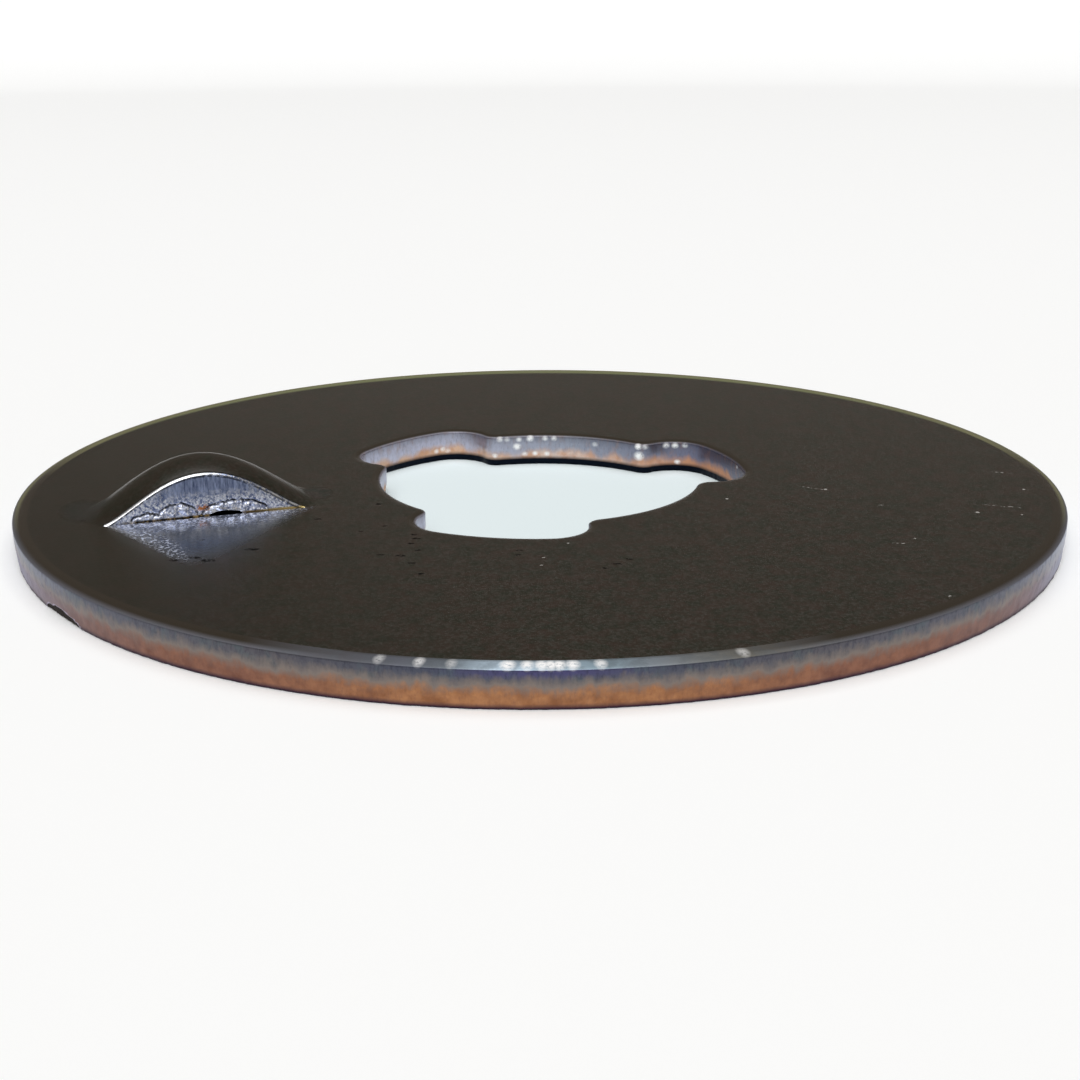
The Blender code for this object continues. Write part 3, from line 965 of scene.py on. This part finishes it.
def hole_wall(material, at, grain, torn):
    """The colour of the hole's wall: grey where sheared, over copper where torn, both painted pale
    with light that is strongest at the left, and darker to the right as painted shade.
    """
    land = graded(material, at["across"], [
        (-6.5, "#C2C0D2"), (2.0, "#A5A8B8"), (10.0, "#78788E"), (13.5, "#4A4A5C")])
    land = add_node(material, "Mix", {
        FACTOR: add_node(material, "MapRange", {
            "Value": grain["streaks"], "From Min": 0.4, "From Max": 0.7, "To Max": 0.25}),
        COLOUR_A: land, COLOUR_B: "#4A4E60"}, MIXED, data_type="RGBA")
    land = add_node(material, "Mix", {
        FACTOR: add_node(material, "MapRange", {
            "Value": at["height"], "From Min": 1.4, "From Max": 1.95, "To Max": 0.45}),
        COLOUR_A: land, COLOUR_B: "#30303A"}, MIXED, data_type="RGBA")
    land = add_node(material, "Mix", {
        FACTOR: add_node(material, "MapRange", {
            "Value": grain["scores"], "From Min": 0.5, "From Max": 0.7, "To Max": 0.3}),
        COLOUR_A: land, COLOUR_B: "#50505E"}, MIXED, data_type="RGBA")
    # Painted light and shade: the torn copper too is palest at the left and darker to the right
    rust = graded(material, at["across"], [(-6.5, "#DCB496"), (2.0, "#E2C8BA"), (10.0, "#C8906E")])
    rust = add_node(material, "Mix", {
        FACTOR: add_node(material, "MapRange", {
            "Value": grain["blotches"], "From Min": 0.4, "From Max": 0.6, "To Max": 0.6}),
        COLOUR_A: rust, COLOUR_B: "#C48A64"}, MIXED, data_type="RGBA")
    wander = add_node(material, "MapRange", {
        "Value": grain["streaks"], "From Min": 0.2, "From Max": 0.8, "To Max": 0.6})
    ragged = add_node(material, "Math", {0: torn, 1: wander}, operation="ADD")
    return add_node(material, "Mix", {
        FACTOR: add_node(material, "MapRange", {"Value": ragged, "From Min": 0.3, "From Max": 1.3}),
        COLOUR_A: land, COLOUR_B: rust}, MIXED, data_type="RGBA")


def roll_shares(material, at, polish, in_hole, on_rim):
    """How far the rolled edge carries the painted grey highlight in front, is covered by the skin,
    and carries the pale olive line painted along the back of the rim as its reflection.
    """
    # The band is the painted highlight on the rim's rolled edge, full straight towards the camera
    # and gone towards the sides
    band = add_node(material, "Math", {
        0: add_node(material, "MapRange", {
            "Value": at["aside"], "From Min": RIM_HIGHLIGHT_END, "From Max": RIM_HIGHLIGHT_FULL}),
        1: on_rim}, operation="MULTIPLY")
    soft_edge = add_node(material, "MapRange", {
        "Value": polish, "From Min": 0.8, "From Max": 1.0, "To Max": 0.5})
    soft_edge = add_node(material, "Math", {0: soft_edge, 1: band}, operation="MULTIPLY")
    skinned = add_node(material, "Mix", {
        "Factor": in_hole,
        "A": add_node(material, "MapRange", {"Value": polish, "From Min": 0.1, "From Max": 0.6}),
        "B": add_node(material, "MapRange", {"Value": polish, "From Min": 0.0, "From Max": 0.45})})
    skinned = add_node(material, "Math", {0: skinned, 1: band}, operation="SUBTRACT")
    skinned = add_node(material, "Math", {0: skinned, 1: soft_edge}, operation="MAXIMUM")
    # Painted reflection: a pale olive line on the roll along the back of the rim, thin towards the
    # sides and wide at the back
    thin = add_node(material, "Math", {
        0: add_node(material, "MapRange", {"Value": polish, "From Min": 0.2, "From Max": 0.4}),
        1: add_node(material, "MapRange", {"Value": polish, "From Min": 0.65, "From Max": 0.5})},
        operation="MULTIPLY")
    thin = add_node(material, "Math", {
        0: thin,
        1: add_node(material, "MapRange", {
            "Value": at["beyond"], "From Min": -11.0, "From Max": -4.0, "To Max": 0.8})},
        operation="MULTIPLY")
    wide = add_node(material, "Math", {
        0: add_node(material, "MapRange", {"Value": polish, "From Min": 0.45, "From Max": 0.65}),
        1: add_node(material, "MapRange", {
            "Value": at["beyond"], "From Min": 0.0, "From Max": 8.0})}, operation="MULTIPLY")
    back_rim_reflection = add_node(material, "Math", {0: thin, 1: wide}, operation="MAXIMUM")
    back_rim_reflection = add_node(material, "Math", {0: back_rim_reflection, 1: on_rim}, operation="MULTIPLY")
    return band, skinned, back_rim_reflection


def painted_roll_highlight(material, at, grain):
    """The painted highlight on the rim's rolled edge: grey, palest straight in front and blotched
    darker.
    """
    painted_glint = graded(material, at["across"], [
        (-13.0, "#54545C"), (-8.4, "#4E4E54"), (-6.0, "#595C66"), (-3.9, "#606870"),
        (-1.7, "#B4C8D8"), (2.6, "#7C909C"), (4.7, "#767E86"), (6.8, "#6A6C6C"), (8.8, "#5A5852"),
        (14.0, "#54545C")])
    return add_node(material, "Mix", {
        FACTOR: add_node(material, "MapRange", {
            "Value": grain["blotches"], "From Min": 0.45, "From Max": 0.6, "To Max": 0.35}),
        COLOUR_A: painted_glint, COLOUR_B: "#50565C"}, MIXED, data_type="RGBA")


def cut_walls():
    """Punched steel: a bluish grey sheared band under a rolled edge, which carries a painted grey
    highlight in front and a painted reflection along the back, and darkens into the skin elsewhere,
    over a coarser torn band that has rusted to copper brown, duller towards the sides where a
    lilac-grey sheen is painted over it, and a lower edge darkened with painted shade. Painted
    glints stand on the rolled edges, and the chip in the rim is painted with shade inside and a
    highlight along its edge. The hole's walls are paler, with painted light that is strongest at
    the left and painted shade to the right."""
    material, place = new_material("punched_steel_edge")
    torn, polish, shade = edge_shares(material)
    at = wall_places(material, place)
    grain = wall_grain(material, place)
    in_hole = add_node(material, "MapRange", {
        "Value": at["reach"], "From Min": RIM_WALL_FROM, "From Max": HOLE_WALL_TO})
    on_rim = add_node(material, "MapRange", {
        "Value": at["reach"], "From Min": HOLE_WALL_TO, "From Max": RIM_WALL_FROM})
    rim, deep = rim_wall(material, place, at, grain, torn)
    hole = hole_wall(material, at, grain, torn)
    banded = add_node(material, "Mix", {FACTOR: in_hole, COLOUR_A: rim, COLOUR_B: hole}, MIXED,
                      data_type="RGBA")
    # Painted shade: the foot of each wall, where it meets the paper, is darkened, reaching higher
    # and darker in the hole
    lifted = add_node(material, "Math", {
        0: at["height"],
        1: add_node(material, "MapRange", {
            "Value": in_hole, "From Min": 0.0, "From Max": 1.0, "To Max": 0.3})},
        operation="SUBTRACT")
    foot = add_node(material, "MapRange", {"Value": lifted, "From Min": 0.3, "From Max": 0.06})
    foot_shade_colour = add_node(material, "Mix", {
        FACTOR: in_hole, COLOUR_A: "#3A283A", COLOUR_B: "#121722"}, MIXED, data_type="RGBA")
    foot_shaded = add_node(material, "Mix", {FACTOR: foot, COLOUR_A: banded, COLOUR_B: foot_shade_colour},
                      MIXED, data_type="RGBA")

    # Painted highlight: the rim's rolled edge is painted grey in front, palest straight towards the
    # camera
    on_roll = add_node(material, "MapRange", {"Value": polish, "From Min": 0.0, "From Max": 0.12})
    band, skinned, back_rim_reflection = roll_shares(material, at, polish, in_hole, on_rim)
    roll_highlight_colour = painted_roll_highlight(material, at, grain)
    roll_highlight_colour = add_node(material, "Mix", {FACTOR: in_hole, COLOUR_A: roll_highlight_colour, COLOUR_B: foot_shaded},
                         MIXED, data_type="RGBA")
    rolled = add_node(material, "Mix", {FACTOR: on_roll, COLOUR_A: foot_shaded, COLOUR_B: roll_highlight_colour},
                      MIXED, data_type="RGBA")
    rolled = add_node(material, "Mix", {FACTOR: skinned, COLOUR_A: rolled, COLOUR_B: "#2A241B"},
                      MIXED, data_type="RGBA")
    # Painted reflection: the pale olive line along the back of the rolled edge
    edged = add_node(material, "Mix", {FACTOR: back_rim_reflection, COLOUR_A: rolled, COLOUR_B: "#7C7A5A"}, MIXED,
                     data_type="RGBA")
    # Painted glints: round white spots that stand in for highlights on the rolled edges
    painted_glint = glints(material, place)
    glinted = add_node(material, "Mix", {FACTOR: painted_glint, COLOUR_A: edged, COLOUR_B: "#FFFFFF"}, MIXED,
                      data_type="RGBA")
    # Painted highlight: a pale lilac line along the chip's edge. Painted shade: the chip's scoop is
    # darkened to black-brown
    chip_edge_highlight = add_node(material, "Math", {
        0: add_node(material, "MapRange", {"Value": shade, "From Min": 0.0, "From Max": 0.2}),
        1: add_node(material, "MapRange", {"Value": shade, "From Min": 0.5, "From Max": 0.3})},
        operation="MULTIPLY")
    chip_edge_highlight = add_node(material, "Mix", {FACTOR: chip_edge_highlight, COLOUR_A: glinted, COLOUR_B: "#B8B0C8"}, MIXED,
                     data_type="RGBA")
    chip_shade = add_node(material, "MapRange", {"Value": shade, "From Min": 0.3, "From Max": 0.6})
    chipped = add_node(material, "Mix", {FACTOR: chip_shade, COLOUR_A: chip_edge_highlight, COLOUR_B: "#1A0F0C"},
                       MIXED, data_type="RGBA")

    metal = add_node(material, "Mix", {
        "Factor": add_node(material, "MapRange", {"Value": deep, "From Min": 0.3, "From Max": 0.9}),
        "A": 0.95, "B": 0.3})
    metal = add_node(material, "Math", {0: metal, 1: foot}, operation="MAXIMUM")
    metal = add_node(material, "Mix", {
        "Factor": on_roll, "A": metal,
        "B": add_node(material, "MapRange", {
            "Value": band, "From Min": 0.0, "From Max": 1.0, "To Max": 0.2})})
    metal = add_node(material, "Math", {
        0: metal,
        1: add_node(material, "MapRange", {
            "Value": back_rim_reflection, "From Min": 0.0, "From Max": 1.0, "To Max": 0.4})}, operation="MAXIMUM")
    for share in (painted_glint, chip_shade):
        metal = add_node(material, "Mix", {"Factor": share, "A": metal, "B": 0.0})
    roughness = add_node(material, "Mix", {"Factor": torn, "A": 0.36, "B": 0.5})
    rounded = add_node(material, "MapRange", {"Value": polish, "From Min": 0.0, "From Max": 0.2})
    oiled = add_node(material, "MapRange", {"Value": skinned, "From Min": 0.4, "From Max": 1.0})
    for share, level in ((rounded, 0.6), (oiled, 0.28), (back_rim_reflection, 0.6), (painted_glint, 0.35), (chip_shade, 1.0)):
        roughness = add_node(material, "Mix", {"Factor": share, "A": roughness, "B": level})
    strength = add_node(material, "MapRange", {
        "Value": polish, "From Min": 0.5, "From Max": 0.0, "To Max": 0.4})
    relief = add_node(material, "Mix", {"Factor": torn, "A": grain["streaks"], "B": grain["grit"]})
    bump = add_node(material, "Bump", {
        "Strength": strength, "Distance": GRAIN_HEIGHT, "Height": relief})
    shader = add_node(material, "BsdfPrincipled", {
        "Base Color": chipped, "Metallic": metal, "Roughness": roughness, "Normal": bump})
    add_node(material, "OutputMaterial", {"Surface": shader})
    return material


def foot_rust(material, place, along, above):
    """Rust along the foot of the tab's face: where it lies, and its colour."""
    base = add_node(material, "MapRange", {"Value": along, "From Min": -17.6, "From Max": -16.8})
    rust_patches = add_node(material, "TexNoise", {
        "Vector": place, "Scale": 1 / RUST_PATCH, "Detail": 3.0, "Roughness": 0.6})
    patchy = add_node(material, "Math", {
        0: add_node(material, "MapRange", {"Value": along, "From Min": -24.6, "From Max": -23.6}),
        1: add_node(material, "MapRange", {
            "Value": rust_patches, "From Min": 0.42, "From Max": 0.5})}, operation="MULTIPLY")
    patchy = add_node(material, "Math", {0: base, 1: patchy}, operation="MAXIMUM")
    foot = add_node(material, "Math", {
        0: add_node(material, "MapRange", {"Value": above, "From Min": 0.14, "From Max": 0.06}),
        1: patchy}, operation="MULTIPLY")
    line = add_node(material, "Mix", {
        FACTOR: add_node(material, "MapRange", {
            "Value": along, "From Min": -17.5, "From Max": -15.5}),
        COLOUR_A: "#8C7446", COLOUR_B: "#D0BC80"}, MIXED, data_type="RGBA")
    dashes = add_node(material, "TexNoise", {
        "Vector": place, "Scale": 1 / RUST_DASH, "Detail": 3.0, "Roughness": 0.6})
    dashes = add_node(material, "Math", {
        0: add_node(material, "MapRange", {"Value": dashes, "From Min": 0.5, "From Max": 0.55}),
        1: add_node(material, "MapRange", {"Value": along, "From Min": -19.0, "From Max": -20.0})},
        operation="MULTIPLY")
    line = add_node(material, "Mix", {FACTOR: dashes, COLOUR_A: line, COLOUR_B: "#1C1814"}, MIXED,
                    data_type="RGBA")
    return foot, line


def ember_spot(material, place, grit, above):
    """1 on a small spot of orange rust on the tab's torn metal, and 0 elsewhere."""
    ember = add_node(material, "Math", {
        0: spot(material, place, *RUST_SPOT),
        1: add_node(material, "MapRange", {"Value": grit, "From Min": 0.46, "From Max": 0.54})},
        operation="MULTIPLY")
    ember = add_node(material, "Math", {
        0: ember,
        1: add_node(material, "MapRange", {"Value": above, "From Min": 0.7, "From Max": 0.6})},
        operation="MULTIPLY")
    return add_node(material, "Math", {
        0: ember,
        1: add_node(material, "MapRange", {"Value": above, "From Min": 0.25, "From Max": 0.4})},
        operation="MULTIPLY")


def tab_steel(material, place, pale, torn, streaks, grit, specks):
    """The tab's bare steel: streaked where sheared, mottled where pale, patchy where torn, and
    speckled white."""
    sheared = add_node(material, "Mix", {
        FACTOR: add_node(material, "MapRange", {
            "Value": streaks, "From Min": 0.36, "From Max": 0.64}),
        COLOUR_A: "#5E6C90", COLOUR_B: "#B0BEE0"}, MIXED, data_type="RGBA")
    mottled = add_node(material, "Mix", {
        FACTOR: add_node(material, "MapRange", {"Value": grit, "From Min": 0.4, "From Max": 0.6}),
        COLOUR_A: "#64749E", COLOUR_B: "#F4F8FF"}, MIXED, data_type="RGBA")
    steel = add_node(material, "Mix", {FACTOR: pale, COLOUR_A: sheared, COLOUR_B: mottled}, MIXED,
                     data_type="RGBA")
    patches = add_node(material, "TexNoise", {
        "Vector": place, "Scale": 1 / TORN_PATCH, "Detail": 3.0, "Roughness": 0.7})
    rough_metal = add_node(material, "Mix", {
        FACTOR: add_node(material, "MapRange", {
            "Value": patches, "From Min": 0.42, "From Max": 0.58}),
        COLOUR_A: "#566080", COLOUR_B: "#CCD4E8"}, MIXED, data_type="RGBA")
    steel = add_node(material, "Mix", {
        FACTOR: add_node(material, "MapRange", {
            "Value": torn, "From Min": 0.0, "From Max": 1.0, "To Max": 0.8}),
        COLOUR_A: steel, COLOUR_B: rough_metal}, MIXED, data_type="RGBA")
    speckled = add_node(material, "Math", {0: pale, 1: torn}, operation="MAXIMUM")
    speckled = add_node(material, "Math", {
        0: speckled,
        1: add_node(material, "MapRange", {"Value": specks, "From Min": 0.54, "From Max": 0.6})},
        operation="MULTIPLY")
    return add_node(material, "Mix", {FACTOR: speckled, COLOUR_A: steel, COLOUR_B: "#FFFFFF"},
                    MIXED, data_type="RGBA")


def lanced_face():
    """Freshly sheared steel on the tab's front: bright, bluish and streaked up and down by the
    punch, paler and mottled lower down and at its outer end, with a polished lip painted near white
    as its highlight and broken towards the hole, painted shade in the crack and under the lip, and
    rust where the torn metal meets the sheet."""
    material, place = new_material("sheared_bright_steel")
    torn, polish, shade = edge_shares(material)
    along = add_node(material, "SeparateXYZ", {0: place}, "X")
    height = add_node(material, "SeparateXYZ", {0: place}, "Z")
    above = add_node(material, "Math", {0: height, 1: THICKNESS / MM}, operation="SUBTRACT")
    upright = add_node(material, "VectorMath", {0: place, 1: BRIGHT_STRETCH}, operation="MULTIPLY")
    streaks = add_node(material, "TexNoise", {
        "Vector": upright, "Scale": 1 / BRIGHT_STREAK, "Detail": 4.0, "Roughness": 0.7})
    grit = add_node(material, "TexNoise", {
        "Vector": place, "Scale": 1 / BRIGHT_GRIT, "Detail": 4.0, "Roughness": 0.7})
    specks = add_node(material, "TexNoise", {
        "Vector": place, "Scale": 1 / BRIGHT_SPECK, "Detail": 2.0, "Roughness": 0.6})

    low = add_node(material, "MapRange", {"Value": above, "From Min": 1.5, "From Max": 0.8})
    outer = add_node(material, "MapRange", {"Value": along, "From Min": -21.3, "From Max": -23.6})
    inner = add_node(material, "MapRange", {"Value": along, "From Min": -17.6, "From Max": -16.2})
    pale = add_node(material, "Math", {0: low, 1: outer}, operation="MAXIMUM")
    pale = add_node(material, "Math", {0: pale, 1: inner}, operation="MAXIMUM")
    steel = tab_steel(material, place, pale, torn, streaks, grit, specks)
    # Painted highlight: the lip's roll and the arched slot's rim are painted near white, whole at
    # the outer end and broken into specks towards the hole
    whole = add_node(material, "MapRange", {"Value": along, "From Min": -18.6, "From Max": -20.0})
    broken_lip = add_node(material, "Math", {
        0: whole,
        1: add_node(material, "MapRange", {"Value": specks, "From Min": 0.5, "From Max": 0.56})},
        operation="MAXIMUM")
    lip = add_node(material, "Math", {0: polish, 1: broken_lip}, operation="MULTIPLY")
    lipped = add_node(material, "Mix", {FACTOR: lip, COLOUR_A: steel, COLOUR_B: "#F4F6FA"}, MIXED,
                      data_type="RGBA")
    foot, line = foot_rust(material, place, along, above)
    rusted = add_node(material, "Mix", {FACTOR: foot, COLOUR_A: lipped, COLOUR_B: line}, MIXED,
                      data_type="RGBA")
    ember = ember_spot(material, place, grit, above)
    spotted = add_node(material, "Mix", {FACTOR: ember, COLOUR_A: rusted, COLOUR_B: "#C47A40"},
                       MIXED, data_type="RGBA")
    # Painted shade: the crack groove and the line under the lip, kept as shade, are darkened in
    # broken pieces
    pieces = add_node(material, "TexNoise", {
        "Vector": place, "Scale": 1 / CRACK_PIECE, "Detail": 3.0, "Roughness": 0.6})
    dark = add_node(material, "Math", {
        0: shade,
        1: add_node(material, "MapRange", {"Value": pieces, "From Min": 0.36, "From Max": 0.46})},
        operation="MULTIPLY")
    crack_shaded = add_node(material, "Mix", {FACTOR: dark, COLOUR_A: spotted, COLOUR_B: "#14141A"},
                       MIXED, data_type="RGBA")

    strength = add_node(material, "Math", {0: 0.8, 1: polish}, operation="SUBTRACT")
    relief = add_node(material, "Mix", {"Factor": pale, "A": streaks, "B": grit})
    bump = add_node(material, "Bump", {
        "Strength": strength, "Distance": GRAIN_HEIGHT, "Height": relief})
    roughness = add_node(material, "Mix", {"Factor": polish, "A": 0.4, "B": 0.2})
    shader = add_node(material, "BsdfPrincipled", {
        "Base Color": crack_shaded, "Metallic": 0.8, "Roughness": roughness, "Normal": bump})
    add_node(material, "OutputMaterial", {"Surface": shader})
    return material


def add_washer():
    """The washer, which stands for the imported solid."""
    data = bpy.data.meshes.new("washer")
    mesh = washer_mesh()
    mesh.to_mesh(data)
    mesh.free()
    for material in (oxidised_skin(), cut_walls(), lanced_face()):
        data.materials.append(material)
    data.shade_smooth()
    data.set_sharp_from_angle(angle=SMOOTH_UP_TO)
    washer = bpy.data.objects.new("washer", data)
    bpy.context.scene.collection.objects.link(washer)
    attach(washer, "root")
    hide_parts(NODE)


def white_paper():
    """Plain matt white paper with no gloss, painted a darker, cooler white under the hole as the
    shade that falls there.
    """
    material, place = new_material("white_paper")
    reach = add_node(material, "VectorMath", {0: place}, "Value", operation="LENGTH")
    hole_shade = add_node(material, "MapRange", {
        "Value": reach, "From Min": OUTER_RADIUS / MM, "From Max": HOLE_SHADE_TO / MM})
    colour = add_node(material, "Mix", {
        FACTOR: hole_shade, COLOUR_A: "#FBFDFE", COLOUR_B: "#E2EEF1"}, MIXED, data_type="RGBA")
    shader = add_node(material, "BsdfPrincipled", {
        "Base Color": colour, "Roughness": 1.0, "Specular IOR Level": 0.0})
    add_node(material, "OutputMaterial", {"Surface": shader})
    return material


def add_paper():
    """The paper that the washer lies on: flat, and swept up a little all round."""
    mesh = bmesh.new()
    bmesh.ops.create_circle(mesh, cap_ends=True, cap_tris=False, segments=PAPER_SEGMENTS,
                            radius=PAPER_FLAT)
    bmesh.ops.translate(mesh, verts=mesh.verts[:], vec=(0.0, 0.0, -PAPER_GAP))
    edge_ring = [edge for edge in mesh.edges if edge.is_boundary]
    radius = PAPER_FLAT
    height = 0.0
    for step in range(1, SWEEP_STEPS + 1):
        turn = SWEEP_TURN * step / SWEEP_STEPS
        new_radius = PAPER_FLAT + SWEEP_RADIUS * math.sin(turn)
        new_height = SWEEP_RADIUS * (1 - math.cos(turn))
        pulled = bmesh.ops.extrude_edge_only(mesh, edges=edge_ring)["geom"]
        ring = [item for item in pulled if isinstance(item, bmesh.types.BMVert)]
        edge_ring = [item for item in pulled if isinstance(item, bmesh.types.BMEdge)]
        grow = new_radius / radius
        bmesh.ops.scale(mesh, verts=ring, vec=(grow, grow, 1.0))
        bmesh.ops.translate(mesh, verts=ring, vec=(0.0, 0.0, new_height - height))
        radius = new_radius
        height = new_height
    bmesh.ops.recalc_face_normals(mesh, faces=mesh.faces[:])
    data = bpy.data.meshes.new("paper")
    mesh.to_mesh(data)
    mesh.free()
    data.materials.append(white_paper())
    data.shade_smooth()
    paper = bpy.data.objects.new("paper", data)
    bpy.context.scene.collection.objects.link(paper)


def add_camera():
    """The photo's view: a close camera, a little above the sheet."""
    data = bpy.data.cameras.new("camera")
    data.lens = CAMERA_LENS
    data.sensor_width = CAMERA_SENSOR
    data.clip_start = CLIP_NEAR
    data.clip_end = CLIP_FAR
    camera = bpy.data.objects.new("camera", data)
    round_washer = Matrix.Rotation(CAMERA_AZIMUTH, 4, "Z")
    stand = Matrix.Translation((0.0, -CAMERA_AWAY, THICKNESS + CAMERA_HEIGHT))
    look = Matrix.Rotation(math.pi / 2 - CAMERA_PITCH, 4, "X")
    roll = Matrix.Rotation(CAMERA_ROLL, 4, "Z")
    camera.matrix_world = round_washer @ stand @ look @ roll
    bpy.context.scene.collection.objects.link(camera)
    bpy.context.scene.camera = camera


def add_softbox(name, azimuth, elevation, away, width, level):
    """A square lamp that looks at the washer. Its level is the share of plain light, at which a
    white surface that faces it would render white."""
    data = bpy.data.lights.new(name, "AREA")
    data.shape = "SQUARE"
    data.size = width
    data.energy = level * math.pi**2 * away**2
    lamp = bpy.data.objects.new(name, data)
    turn = Matrix.Rotation(azimuth, 4, "Z") @ Matrix.Rotation(math.pi / 2 - elevation, 4, "X")
    lamp.matrix_world = turn @ Matrix.Translation((0.0, 0.0, away))
    bpy.context.scene.collection.objects.link(lamp)


def light_studio():
    """Soft light from above and from the camera's side, in a dim room that the camera sees as
    pale as the paper."""
    add_softbox("overhead_softbox", 0.0, math.radians(90.0), LAMP_AWAY, OVERHEAD_WIDTH,
                OVERHEAD_LEVEL)
    add_softbox("front_softbox", CAMERA_AZIMUTH, FRONT_ELEVATION, LAMP_AWAY, FRONT_WIDTH,
                FRONT_LEVEL)
    add_softbox("small_lamp", CAMERA_AZIMUTH, SMALL_LAMP_ELEVATION, LAMP_AWAY, SMALL_LAMP_WIDTH,
                SMALL_LAMP_LEVEL)
    world = bpy.data.worlds.new("dim_room")
    world.use_nodes = True
    background = world.node_tree.nodes["Background"]
    seen = add_node(world, "LightPath", {}, "Is Camera Ray")
    colour = add_node(world, "Mix", {FACTOR: seen, COLOUR_A: ROOM_COLOUR, COLOUR_B: BEHIND_PAPER},
                      MIXED, data_type="RGBA")
    world.node_tree.links.new(colour, background.inputs["Color"])
    background.inputs["Strength"].default_value = 1.0
    bpy.context.scene.world = world


add_washer()
add_paper()
add_camera()
light_studio()
bpy.context.scene.view_settings.view_transform = "Standard"
